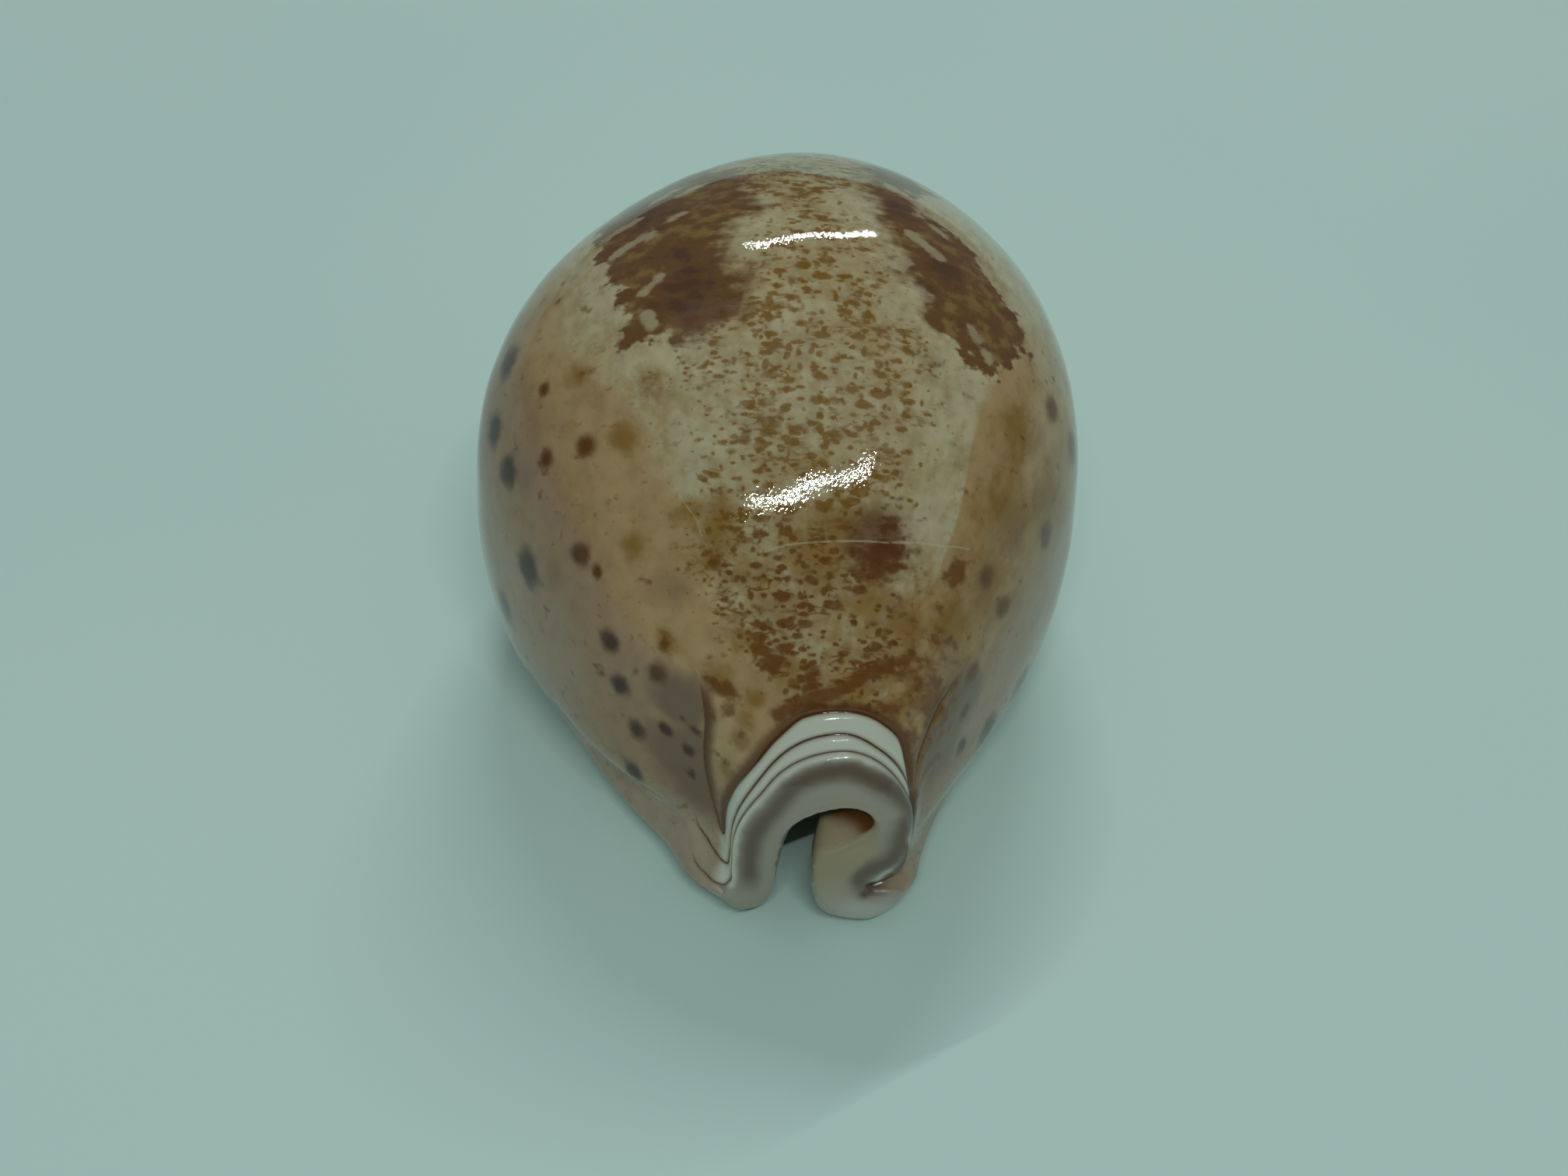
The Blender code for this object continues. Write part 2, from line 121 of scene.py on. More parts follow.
LIP_CORNER = 2.8
LIP_ROUND = 0.9
FLAT_FROM_LIP = 1.0
FLAT_FROM_LIP_SHARE = 0.35
FLAT_FROM_LIP_LIMIT = 3.2
FLAT_TO_EDGE_SHARE = 0.3
FLAT_TO_EDGE_LIMIT = 4.5
BASE_RISE = 0.22
BULGE_SHARE = 0.78

# How many columns of the mesh lie between each two guide points of a loop, from the outer lip.
COLUMNS = (5, 7, 9, 11, 10, 10, 9) + (20,) * 8 + (8, 9, 8, 8, 8, 7, 5) + (3,) + (4,) * 8 + (3,)

# Rows of the mesh: between two growth lines, over each tooth, and behind the last tooth.
ROWS_PER_LAMELLA = 10
ROWS_PER_TOOTH = 8
ROWS_AT_HIND_END = 22
LATTICE_STEP = 0.1

# Guide points, counted from the outer lip: 0 and 1 the outer lip, 4 the left edge, 5 the left
# crease, 11 the crown, 17 the right crease, 18 the right edge, 21 and 22 the inner lip.
GUIDE_COUNT = 32
LEFT_CREASE = 5
RIGHT_BULGE = 16

# The growth lines round the front canal, front to back: the y of each at these guide points.
LINE_GUIDES = (3.0, 4.2, 5.0, 5.8, 6.5, 7.2, 8.0, 8.5, 9.0, 9.5, 10.0, 10.5, 11.0, 12.5, 13.5,
               14.2, 14.9, 15.4, 16.0, 16.6, 17.2, 18.0)
FRONT_LINE = (-37.7, -38.1, -38.35, -38.4, -38.4, -38.4, -38.35, -38.2, -37.8, -37.5, -37.3, -37.15,
              -37.05, -37.0, -37.0, -36.9, -36.5, -36.7, -37.3, -37.8, -38.1, -38.2)
MIDDLE_LINE = (-36.8, -37.2, -37.55, -37.75, -37.75, -37.7, -37.6, -37.35, -36.95, -36.6, -36.35,
               -36.2, -36.1, -36.3, -36.3, -36.3, -36.3, -36.5, -37.1, -37.6, -37.9, -38.0)
BACK_LINE = (-35.6, -35.6, -35.9, -36.4, -36.1, -36.3, -36.5, -36.35, -35.95, -35.55, -35.1,
             -34.9, -34.8, -34.8, -35.0, -35.9, -36.1, -36.3, -36.9, -37.4, -37.7, -37.8)
LAMELLAE_END = -33.4

# The arms in which the growth lines run up on the left, front to back, as guide point and y, and
# the pinch on the right in which all of them meet.
FRONT_ARM = ((4.6, -34.6), (4.55, -35.2), (4.45, -36.0), (4.4, -37.0), (4.4, -37.8), (4.6, -38.3))
MIDDLE_ARM = ((6.1, -33.2), (5.8, -33.7), (5.3, -34.3), (5.1, -35.3), (5.0, -36.2), (5.05, -37.0),
              (5.3, -37.55))
BACK_ARM = ((8.75, -31.0), (8.4, -32.1), (7.9, -33.1), (7.3, -33.7), (6.7, -34.4), (6.35, -34.8),
            (6.05, -35.4), (5.9, -36.0), (6.05, -36.3))
PINCH = ((15.1, -36.3), (14.85, -35.7), (14.6, -34.6), (14.4, -33.5), (14.2, -31.5), (14.2, -28.0))
# The white outer edge of the rim, past the pinch, and the groove outside it, darkened with painted
# shade. Both go on over the front end, as x and z.
RIM_EDGE = ((14.9, -36.5), (15.0, -37.2), (15.1, -38.3))
RIM_EDGE_IN_FRONT = ((13.7, 14.3), (13.4, 11.5), (12.7, 9.4), (10.8, 7.1))
GROOVE = ((14.9, -36.0), (15.2, -36.4), (15.9, -36.9), (16.6, -37.3), (17.0, -38.5))
GROOVE_IN_FRONT = ((10.9, 5.8), (9.7, 5.1))
# The left arm of the last growth line, beyond which the grey callus lies.
CALLUS_ARM = ((4.0, -38.0), (5.0, -36.6), (5.6, -36.2)) + BACK_ARM[6::-1]
# Each growth line's arm, its course over the arch and the y at which its arm fades out.
GROWTH_LINES = {"front_line": (FRONT_ARM, FRONT_LINE, -35.6),
                "middle_line": (MIDDLE_ARM, MIDDLE_LINE, -34.2),
                "back_line": (BACK_ARM, BACK_LINE, -31.8)}
LINE_DEPTH = 0.3
LINE_SHOULDER = 0.75
GROOVE_DEPTH = 0.35

# Ledges where the glaze of each margin begins, as guide point and y.
LEFT_LEDGE = ((4.4, -36.6), (4.5, -35.7), (4.9, -34.2), (5.1, -33.4), (5.3, -32.3), (5.1, -30.8),
              (5.0, -29.0))
RIGHT_LEDGE = ((15.1, -35.4), (15.05, -34.3), (14.95, -33.4), (15.0, -31.9), (15.3, -30.1),
               (15.6, -27.7), (16.0, -24.5), (16.1, -21.7))
LEDGE_HEIGHT = 0.16

# The rim round the front canal: how far it stands out, how wide its outer slope is, and how wide
# its inner edge is rounded, at the arch and at the two feet. The low swelling along the inner
# edge, as height, place and width. The pocket inside the rim's hook.
RIM_OUT = 0.72
RIM_SLOPE = 2.75
RIM_ROUND = (0.95, 1.5)
RIM_LIP = (0.42, 0.6, 0.38)
POCKET = (8.6, 12.6)
POCKET_RADIUS = 2.0
POCKET_DEPTH = 0.5
HIND_RIM = (1.3, 1.6)

# How the two ends are filled: rows of points this deep inside the outline, then an even grid.
CAP_ROWS = (0.06, 0.16, 0.32)
FRONT_GRID = 0.24
HIND_GRID = 0.4

# Teeth.
TOOTH_PITCH = 2.6
TOOTH_HEIGHT = 0.62
OUTER_TEETH = (-35.6, 33.5)
INNER_TEETH = (-29.0, 33.5)
TOOTH_FADE = 2.6

# The dimple over the spire, behind the crown: guide point, y, radius and depth.
SPIRE = (11.6, 36.6, 2.4, 0.5)

# The two dark blotches of the back, as guide point and y, and the pale gaps in them, each from
# one place to another with a radius.
LEFT_BLOTCH = ((9.3, -9.6), (9.45, -6.0), (9.3, -1.5), (9.2, 1.5), (9.0, 5.5), (8.9, 11.0),
               (9.2, 16.0), (9.8, 18.0), (10.5, 14.5), (10.7, 8.5), (10.85, 4.5), (10.6, 2.0),
               (10.55, -0.5), (10.75, -4.0), (10.75, -7.5), (10.5, -9.8), (9.9, -10.8),
               (9.7, -9.6))
RIGHT_BLOTCH = ((11.6, 21.5), (11.5, 15.5), (11.5, 11.0), (11.6, 6.0), (11.7, 2.5), (11.8, 0.0),
                (11.8, -3.0), (12.1, -3.5), (12.15, -7.0), (12.55, -8.0), (12.8, -8.8),
                (13.05, -8.7), (13.3, -5.5), (13.5, -1.5), (13.1, 1.7), (12.85, 5.0),
                (12.65, 6.8), (12.35, 9.0), (12.3, 13.0), (12.5, 17.0), (12.1, 21.5))
HIND_BLOTCH = ((10.0, 30.0), (9.7, 33.0), (10.4, 36.0), (11.6, 34.5), (11.8, 31.5), (11.0, 29.0))
GAPS = ((9.7, -7.7, 9.68, -7.0, 0.75), (9.62, -4.4, 9.82, -3.2, 0.28), (9.3, 1.7, 9.7, 3.4, 0.5),
        (9.1, 5.2, 9.5, 7.0, 0.45), (9.85, 9.5, 10.05, 11.5, 0.45), (9.85, 4.9, 9.95, 5.5, 0.35),
        (9.5, 9.5, 9.75, 12.5, 0.4), (12.07, 4.0, 12.35, 2.0, 0.6), (11.95, -0.9, 12.0, -0.4, 0.8),
        (12.72, -5.2, 12.98, -7.2, 0.45), (12.2, 8.0, 12.45, 6.0, 0.3), (11.9, 13.5, 12.1, 11.5, 0.5))

# Soft marks: guide point, y and radius. Dark spots with a grey edge lie deep in the flanks' glaze,
# ochre and plum clouds under it.
DARK_SPOTS = ((8.4, -9.0, 0.6), (8.7, -15.5, 0.95), (8.15, -14.2, 0.8), (7.55, -11.7, 1.35),
              (7.55, -7.1, 1.4), (7.95, -2.7, 1.4), (7.2, -17.8, 1.7), (8.05, -21.7, 0.95),
              (8.2, -23.4, 0.5), (7.8, -27.0, 1.0), (7.4, -28.7, 1.0), (8.05, -30.0, 0.95),
              (6.95, -30.1, 0.9), (7.25, -31.6, 0.65), (7.65, -32.2, 0.3), (7.6, -32.9, 0.4),
              (7.15, -32.9, 0.6), (6.7, -33.3, 0.5), (14.65, -13.7, 1.15), (14.05, -5.6, 1.1),
              (14.6, -4.3, 1.3), (14.5, -21.7, 1.0), (14.55, -26.7, 0.9), (14.85, -28.0, 0.75),
              (13.9, -22.2, 0.9), (15.5, -28.2, 0.8), (16.0, -23.3, 1.4), (16.2, -17.0, 1.6),
              (16.9, -12.3, 1.7), (16.3, -6.0, 1.6), (5.3, -17.0, 1.6), (5.4, -20.6, 1.7),
              (5.3, -24.6, 1.2), (5.3, -10.0, 1.5), (5.2, -1.5, 1.5), (6.0, -29.8, 1.0),
              (6.2, -13.5, 1.5), (6.4, -5.0, 1.5), (6.1, 4.0, 1.6), (5.2, 9.0, 1.5),
              (7.4, 5.5, 1.4), (6.6, 13.0, 1.5), (5.4, 18.0, 1.4), (7.7, 15.0, 1.3),
              (6.4, 22.0, 1.3), (7.6, 24.5, 1.1), (6.2, 29.5, 1.1), (8.4, 28.0, 0.9),
              (15.3, 3.5, 1.5), (16.4, 8.0, 1.6), (14.3, 7.5, 1.2), (15.6, 14.5, 1.5),
              (16.8, 18.5, 1.3), (14.4, 17.0, 1.2), (15.8, 24.5, 1.3), (14.6, 27.5, 1.0),
              (16.2, 31.0, 1.0), (13.6, 31.0, 0.8))
BASE_SPOTS = ((4.5, -10.0, 1.7), (3.7, -13.9, 1.5), (3.7, -21.0, 1.0), (3.9, -26.4, 1.0),
              (3.2, -33.5, 1.2), (3.6, -4.0, 1.6), (3.9, 5.0, 1.5), (3.7, 13.0, 1.5),
              (3.9, 21.0, 1.3), (3.6, 28.0, 1.1), (17.6, -4.6, 1.7), (18.5, -12.1, 1.6),
              (17.5, -21.0, 1.4), (18.3, 3.0, 1.5), (18.1, 12.0, 1.5), (18.3, 20.5, 1.3),
              (18.2, 28.0, 1.1), (16.3, -34.0, 0.9))
OCHRE_CLOUDS = ((9.2, -16.2, 1.5), (8.85, -9.8, 1.2), (10.0, -23.7, 2.6), (9.75, -22.5, 1.5),
                (8.9, -23.3, 1.1), (8.65, -29.0, 1.1), (8.9, -31.9, 1.5), (10.15, -26.6, 1.1),
                (9.85, -25.5, 0.8), (13.9, -17.5, 4.6), (14.0, -22.5, 4.4), (13.6, -26.5, 3.8),
                (13.6, -11.5, 3.0), (14.4, -13.0, 3.6), (11.1, -25.0, 4.2), (11.6, -28.0, 3.0),
                (12.4, -28.8, 2.6), (9.3, -33.5, 0.9), (8.7, -34.2, 1.0), (10.3, -32.3, 1.6),
                (9.9, -30.5, 1.4), (11.5, -33.4, 1.8), (13.2, -32.0, 1.8), (9.6, -13.0, 1.6),
                (12.1, -31.0, 1.8), (8.25, -34.8, 1.0), (7.4, -35.2, 0.9), (8.85, -32.1, 1.3),
                (8.2, -33.0, 1.0))
BROWN_CLOUDS = ((10.1, -31.6, 1.1), (10.5, -33.0, 1.0), (9.0, -32.4, 0.8), (8.6, -33.3, 0.7),
                (11.95, -24.3, 1.9), (11.7, -25.6, 2.0), (13.8, -31.8, 0.9), (12.9, -33.4, 0.8),
                (9.9, -25.6, 0.7), (8.65, -29.0, 0.8), (8.7, -15.6, 0.6), (13.2, -24.0, 1.2),
                (8.4, -34.6, 0.5), (8.8, -32.0, 0.8), (8.1, -33.0, 0.6), (7.5, -35.0, 0.5))
PLUM_CLOUDS = ((9.2, -26.4, 2.0), (7.75, -13.6, 1.8), (7.5, -20.7, 1.5), (13.9, -29.0, 2.0),
               (14.2, -18.0, 1.6), (7.3, 9.0, 2.4), (15.0, 10.5, 2.4))
MAROON_CLOUDS = ((11.75, -24.2, 3.0), (11.75, -23.6, 2.6))
CORE_CLOUDS = ((10.1, -5.2, 3.0), (10.0, -0.6, 1.8), (12.2, -3.6, 1.6), (12.4, 0.5, 1.8),
               (9.6, 6.0, 2.5), (12.0, 8.0, 2.0))
# The grey callus on each side of the canal.
LEFT_CALLUS = ((7.0, -32.9, 4.4), (7.9, -31.6, 2.8), (6.6, -33.9, 3.6))
RIGHT_CALLUS = ((14.8, -31.5, 4.0), (14.7, -28.5, 3.2))
# How soft each kind of mark is: at 2 it fades from its middle on.
CLOUDS = {"spots": (DARK_SPOTS, 1.8), "base_spots": (BASE_SPOTS, 1.4), "ochre": (OCHRE_CLOUDS, 1.9),
          "brown": (BROWN_CLOUDS, 1.9), "plum": (PLUM_CLOUDS, 1.6), "maroon": (MAROON_CLOUDS, 1.9),
          "core": (CORE_CLOUDS, 1.6), "left_callus": (LEFT_CALLUS, 1.9),
          "right_callus": (RIGHT_CALLUS, 1.9)}

# The sharp line where the two halves of the mantle met, and the cream's soft left edge: y and
# guide point.
MANTLE_LINE = ((-38.0, 12.3), (-30.0, 12.3), (-27.5, 12.5), (-25.0, 12.8), (-20.0, 12.95),
               (-10.0, 12.85), (-5.0, 13.0), (4.0, 13.4), (20.0, 13.3), (40.0, 12.8))
CREAM_EDGE = ((-38.0, 10.2), (-26.0, 10.0), (-18.0, 9.8), (-10.0, 9.3), (4.0, 8.8), (20.0, 9.2),
              (40.0, 10.0))
# The left and right edges of the band of small dots.
DOTS_LEFT = ((-38.0, 9.6), (-26.0, 9.8), (-20.0, 10.0), (-10.0, 10.1), (-6.0, 10.6), (6.0, 10.7),
             (12.0, 9.9), (20.0, 9.3), (40.0, 9.8))
DOTS_RIGHT = ((-38.0, 12.4), (-26.0, 12.3), (-20.0, 12.4), (-10.0, 12.4), (-6.0, 11.9), (6.0, 11.5),
              (14.0, 11.9), (22.0, 12.9), (40.0, 12.2))
# A dark line over the front of the back, and two fine scratches.
DARK_STREAK = ((12.7, -30.2), (12.2, -31.3), (11.6, -32.5), (11.0, -33.5), (10.3, -34.2),
               (9.5, -34.6))
LONG_SCRATCH = ((10.4, -25.3), (10.7, -24.8), (11.0, -24.6), (11.9, -24.1), (12.8, -23.0),
                (13.4, -21.8))
SHORT_SCRATCH = ((9.66, -20.4), (9.7, -21.6), (9.82, -22.9), (9.84, -24.2))

# Colours, in linear light.
CREAM = (0.60, 0.50, 0.32)
WARM_CREAM = (0.52, 0.395, 0.215)
TAN = (0.52, 0.335, 0.16)
OCHRE = (0.29, 0.14, 0.02)
STAIN = (0.37, 0.215, 0.065)
FAWN = (0.395, 0.235, 0.135)
MARGIN = (0.45, 0.335, 0.24)
LILAC = (0.185, 0.11, 0.07)
DOT_BROWN = (0.245, 0.11, 0.004)
FRONT_BROWN = (0.165, 0.05, 0.001)
BLOTCH_BROWN = (0.155, 0.056, 0.012)
CORE_BROWN = (0.085, 0.024, 0.012)
GOLDEN = (0.27, 0.145, 0.035)
GAP_PALE = (0.42, 0.32, 0.19)
MAROON = (0.11, 0.02, 0.001)
SPOT_BROWN = (0.05, 0.011, 0.002)
PLUM = (0.19, 0.10, 0.06)
LINE_BROWN = (0.075, 0.03, 0.007)
ARM_BROWN = (0.12, 0.032, 0.002)
WHITE = (0.66, 0.655, 0.56)
RIM_GREY = (0.365, 0.32, 0.255)
RIM_STRIPE = (0.13, 0.085, 0.055)
PILLAR = (0.39, 0.30, 0.19)
PILLAR_FOOT = (0.43, 0.39, 0.31)
KNOB = (0.50, 0.49, 0.44)
# Painted shade over the top of the pocket in the rim's hook, laid on the hollow's own orange-brown.
POCKET_SHADE_BROWN = (0.16, 0.06, 0.018)
BASE = (0.50, 0.44, 0.33)
BASE_SHADE = (0.40, 0.33, 0.225)
BASE_SPOT = (0.15, 0.10, 0.06)
INSIDE = (0.50, 0.15, 0.022)
INSIDE_DEEP = (0.36, 0.09, 0.015)
FLOOR = (0.66, 0.84, 0.80)
FLOOR_SHADE = (0.62, 0.80, 0.77)
LIGHT_COLOUR = (0.86, 1.0, 0.96)

# The crown's dots, in four layers: the grain's size and stretch, a shift that sets its chance
# pattern, and how much of a grain its dot fills.
DOT_LAYERS = ((1.6, (1.5, 0.8, 1.0), 2.0, 0.39), (1.2, (1.7, 0.8, 1.0), 17.0, 0.46),
              (1.1, (0.9, 1.4, 1.0), 63.0, 0.38), (0.75, (1.5, 0.9, 1.0), 40.0, 0.44))
# Half the width and the strength of the ink of each growth line.
LINE_INK = {"front_line": (0.08, 0.8), "middle_line": (0.10, 0.95), "back_line": (0.13, 1.0)}

# The gloss, how uneven it is, and the height of its ripple in metres.
ROUGHNESS = 0.035
HAZE = 0.03
RIPPLE_HEIGHT = 0.00003
RIPPLE_STRENGTH = 0.3

# Where the tables' frame lies in the part's, in millimetres.
TABLES_TO_FRAME = (0.039, -0.95, 0.0)

# The photograph's viewpoint, and the floor and the lights, in metres; the lens in millimetres.
PITCH = math.radians(43.0)
ROLL = math.radians(2.57)
DISTANCE = 0.2395
TARGET = (0.00118, -0.00095, 0.0062)
LENS = 53.39
SENSOR = 36
FLOOR_HALF = 1.5
# Soft light from above, and two tubes that the gloss mirrors as strips: where each light starts
# and ends, its width and its power.
LIGHTS = {"ceiling": ((-0.8, -0.2, 1.4), (0.8, -0.2, 1.4), 1.2, 1.3),
          "hind_tube": ((-0.26, 0.96, 1.3), (0.52, 1.52, 1.3), 0.012, 9.0),
          "front_tube": ((-0.32, -1.15, 1.3), (0.41, -0.74, 1.3), 0.012, 9.0)}
ROOM_LIGHT = 0.13


def hermite(start, end, start_slope, end_slope, t):
    """Cubic between two values with given slopes."""
    return (start * (2 * t**3 - 3 * t**2 + 1) + start_slope * (t**3 - 2 * t**2 + t)
            + end * (3 * t**2 - 2 * t**3) + end_slope * (t**3 - t**2))


def curve(xs, values, wanted):
    """Values at many places on a smooth curve through the entries of a table."""
    xs, values = np.array(xs), np.array(values)
    slopes = np.gradient(values, xs)
    k = np.clip(np.searchsorted(xs, wanted) - 1, 0, len(xs) - 2)
    step = xs[k + 1] - xs[k]
    t = np.clip((wanted - xs[k]) / step, 0, 1)
    return hermite(values[k], values[k + 1], step * slopes[k], step * slopes[k + 1], t)


def at(table, ys):
    return curve(STATION, table, ys)


def smooth_turns(turns):
    """Places on a smooth curve through turns drawn in guide places and y."""
    guides, ys = np.array(turns, float).T
    number = np.arange(len(turns))
    shares = np.arange(0, len(turns) - 0.99, 0.25)
    return np.column_stack([curve(number, guides, shares), curve(number, ys, shares)])


def growth_line(arm, line):
    """A growth line from its left arm over the canal's arch into the pinch."""
    guides = np.arange(arm[-1][0] + 0.3, 14.9, 0.25)
    over_arch = zip(guides, curve(LINE_GUIDES, line, guides))
    return smooth_turns(arm + tuple(over_arch) + PINCH)


def smoothstep(value, low, high):
    """Nought below low, one above high, smooth between."""
    t = np.clip((value - low) / (high - low), 0, 1)
    return t * t * (3 - 2 * t)


def between(value, rise, fall):
    """One between two slopes, each given as where it starts and where it ends."""
    return smoothstep(value, *rise) * (1 - smoothstep(value, *fall))


def arc_point(centre_x, centre_z, reach_x, reach_z, degrees, power):
    """Points on superellipses."""
    c = math.cos(math.radians(degrees))
    s = math.sin(math.radians(degrees))
    x = centre_x + reach_x * math.copysign(1, c) * abs(c) ** (2 / power)
    z = centre_z + reach_z * math.copysign(1, s) * abs(s) ** (2 / power)
    return x, z


def base_side(lip_x, edge_x, base_z, out):
    """Guide points of one side of the base, from the lip out."""
    width = np.abs(edge_x - lip_x)
    near_lip = np.minimum(FLAT_FROM_LIP_LIMIT, FLAT_FROM_LIP_SHARE * width + FLAT_FROM_LIP)
    near_edge = np.minimum(FLAT_TO_EDGE_LIMIT, FLAT_TO_EDGE_SHARE * width)
    return [(lip_x, base_z + LIP_CORNER),
            (lip_x + out * LIP_ROUND, base_z + LIP_ROUND),
            (lip_x + out * near_lip, base_z),
            (edge_x - out * near_edge, base_z + BASE_RISE)]


def margin_side(edge, crease, back_x, widest_z):
    """Guide points of one margin: the edge of the base, the crease and the bulge above it."""
    bulge_x = crease[0] + BULGE_SHARE * (back_x - crease[0])
    return [edge, crease, (bulge_x, (crease[1] + widest_z) / 2)]


def back_points(ys):
    """Guide points of the domed back, from the outer lip's side over the crown."""
    left, right, crown_x = at(BACK_LEFT, ys), at(BACK_RIGHT, ys), at(CROWN_X, ys)
    widest_z, power = at(WIDEST_Z, ys), at(BACK_POWER, ys)
    height = at(BACK_TOP, ys) - widest_z
    points = []
    for degrees in BACK_ANGLES:
        reach = crown_x - left if degrees > 90 else right - crown_x
        points.append(arc_point(crown_x, widest_z, reach, height, degrees, power))
    return points


def hollow_points(ys):
    """Guide points of the hollow, from the inner lip over its roof to the outer lip."""
    crown_x, roof_z = at(HOLLOW_CROWN_X, ys), at(HOLLOW_TOP, ys)
    right, right_z = at(HOLLOW_RIGHT, ys), at(HOLLOW_RIGHT_Z, ys)
    left, left_z = at(HOLLOW_LEFT, ys), at(HOLLOW_LEFT_Z, ys)
    inner_shelf, outer_shelf = at(INNER_SHELF_Z, ys), at(OUTER_SHELF_Z, ys)
    inner_lip, outer_lip = at(INNER_LIP_X, ys), at(OUTER_LIP_X, ys)
    to_right, to_left = right - crown_x, crown_x - left
    return [
        (inner_lip, inner_shelf - SHELF_ROUND),
        arc_point(inner_lip, right_z, right - inner_lip, right_z - inner_shelf,
                  -SHELF_ANGLE, HOLLOW_POWER),
        (right, right_z),
        arc_point(crown_x, right_z, to_right, roof_z - right_z, 45, HOLLOW_POWER),
        (crown_x, roof_z),
        arc_point(crown_x, left_z, to_left, roof_z - left_z, 135, HOLLOW_POWER),
        (left, left_z),
        arc_point(outer_lip, left_z, outer_lip - left, left_z - outer_shelf,
                  180 + SHELF_ANGLE, HOLLOW_POWER),
        (outer_lip, outer_shelf - SHELF_ROUND)]


def guide_points(ys):
    """All guide points of the loops at many y: an array of loops, guide points and x, z."""
    widest_z = at(WIDEST_Z, ys)
    left_edge = (at(EDGE_LEFT_X, ys), at(EDGE_LEFT_Z, ys))
    right_edge = (at(EDGE_RIGHT_X, ys), at(EDGE_RIGHT_Z, ys))
    left_crease = (at(CREASE_LEFT_X, ys), at(CREASE_LEFT_Z, ys))
    right_crease = (at(CREASE_RIGHT_X, ys), at(CREASE_RIGHT_Z, ys))
    left_base = base_side(at(OUTER_LIP_X, ys), left_edge[0], at(BASE_LEFT_Z, ys), -1)
    right_base = base_side(at(INNER_LIP_X, ys), right_edge[0], at(BASE_RIGHT_Z, ys), 1)
    left_margin = margin_side(left_edge, left_crease, at(BACK_LEFT, ys), widest_z)
    right_margin = margin_side(right_edge, right_crease, at(BACK_RIGHT, ys), widest_z)
    points = left_base + left_margin + back_points(ys)
    points += right_margin[::-1] + right_base[::-1] + hollow_points(ys)
    return np.array([np.stack(point, axis=-1) for point in points]).transpose(1, 0, 2)


def column_places():
    """Where the mesh's columns lie on a loop, counted in guide points."""
    places = []
    for guide, count in enumerate(COLUMNS):
        places += [guide + step / count for step in range(count)]
    return np.array(places)


def smooth_loops(guides, places):
    """Points of smooth closed curves through the guide points."""
    following = np.roll(guides, -1, axis=1)
    gaps = np.sqrt(np.linalg.norm(following - guides, axis=2))[:, :, None] + 1e-6
    slopes = (following - guides) / gaps
    gaps_before = np.roll(gaps, 1, axis=1)
    slopes_before = np.roll(slopes, 1, axis=1)
    tangents = (slopes_before * gaps + slopes * gaps_before) / (gaps + gaps_before)
    first = places.astype(int)
    second = (first + 1) % GUIDE_COUNT
    t = (places - first)[None, :, None]
    gap = gaps[:, first]
    return hermite(guides[:, first], guides[:, second], gap * tangents[:, first],
                   gap * tangents[:, second], t)


def bell(sigma):
    """A normal curve's weights, as many as three sigma need on each side."""
    reach = int(math.ceil(3 * sigma))
    weights = np.exp(-0.5 * (np.arange(-reach, reach + 1) / sigma) ** 2)
    return weights / weights.sum(), reach


def soften_along(lattice, sigma):
    """The lattice smoothed along y, its ends kept."""
    weights, reach = bell(sigma)
    low = 2 * lattice[:1] - lattice[reach:0:-1]
    high = 2 * lattice[-1:] - lattice[-2:-reach - 2:-1]
    padded = np.concatenate([low, lattice, high])
    result = np.zeros_like(lattice)
    for k, weight in enumerate(weights):
        result += weight * padded[k:k + len(lattice)]
    return result


def soften_round(lattice, sigma):
    """The lattice smoothed round its loops."""
    weights, reach = bell(sigma)
    result = np.zeros_like(lattice)
    for k, weight in enumerate(weights):
        result += weight * np.roll(lattice, k - reach, axis=1)
    return result


def loft_lattice(places):
    """The plain surface on an even lattice of y: its y values, and x and z of every point."""
    ys = np.arange(STATION[0], STATION[-1] + LATTICE_STEP / 2, LATTICE_STEP)
    lattice = smooth_loops(guide_points(ys), places)
    on_back = between(places, (5.2, 7.0), (15.0, 16.8))
    off_canal = smoothstep(ys, -36.0, -26.0)
    lattice = soften_along(lattice, 4)
    strong = soften_along(lattice, 16)
    share = between(ys, (-36.0, -26.0), (36.0, 40.0))[:, None, None]
    lattice = lattice + share * (strong - lattice)
    round_share = on_back[None, :, None] * (0.25 + 0.75 * off_canal)[:, None, None]
    return ys, lattice + round_share * (soften_round(lattice, 7) - lattice)


def row_heights(places):
    """The y of every vertex, a row for each loop. The first rows follow the growth lines."""
    turns = [np.full(len(places), STATION[0])]
    turns += [curve(LINE_GUIDES, line, places) for arm, line, top in GROWTH_LINES.values()]
    turns += [np.full(len(places), LAMELLAE_END)]
    rows = []
    for k in range(len(turns) - 1):
        for share in np.arange(ROWS_PER_LAMELLA) / ROWS_PER_LAMELLA:
            rows.append(turns[k] + share * (turns[k + 1] - turns[k]))
    teeth = np.arange(LAMELLAE_END, OUTER_TEETH[1], TOOTH_PITCH / ROWS_PER_TOOTH)
    hind = np.linspace(OUTER_TEETH[1], STATION[-1], ROWS_AT_HIND_END + 1)
    rows += [np.full(len(places), y) for y in np.concatenate([teeth, hind])]
    return np.array(rows)


def surface_normals(points):
    """Unit normals of a grid of points, out of the shell's wall."""
    around = np.roll(points, -1, axis=1) - np.roll(points, 1, axis=1)
    along = np.gradient(points, axis=0)
    normals = np.cross(around, along)
    return normals / np.linalg.norm(normals, axis=2)[:, :, None]


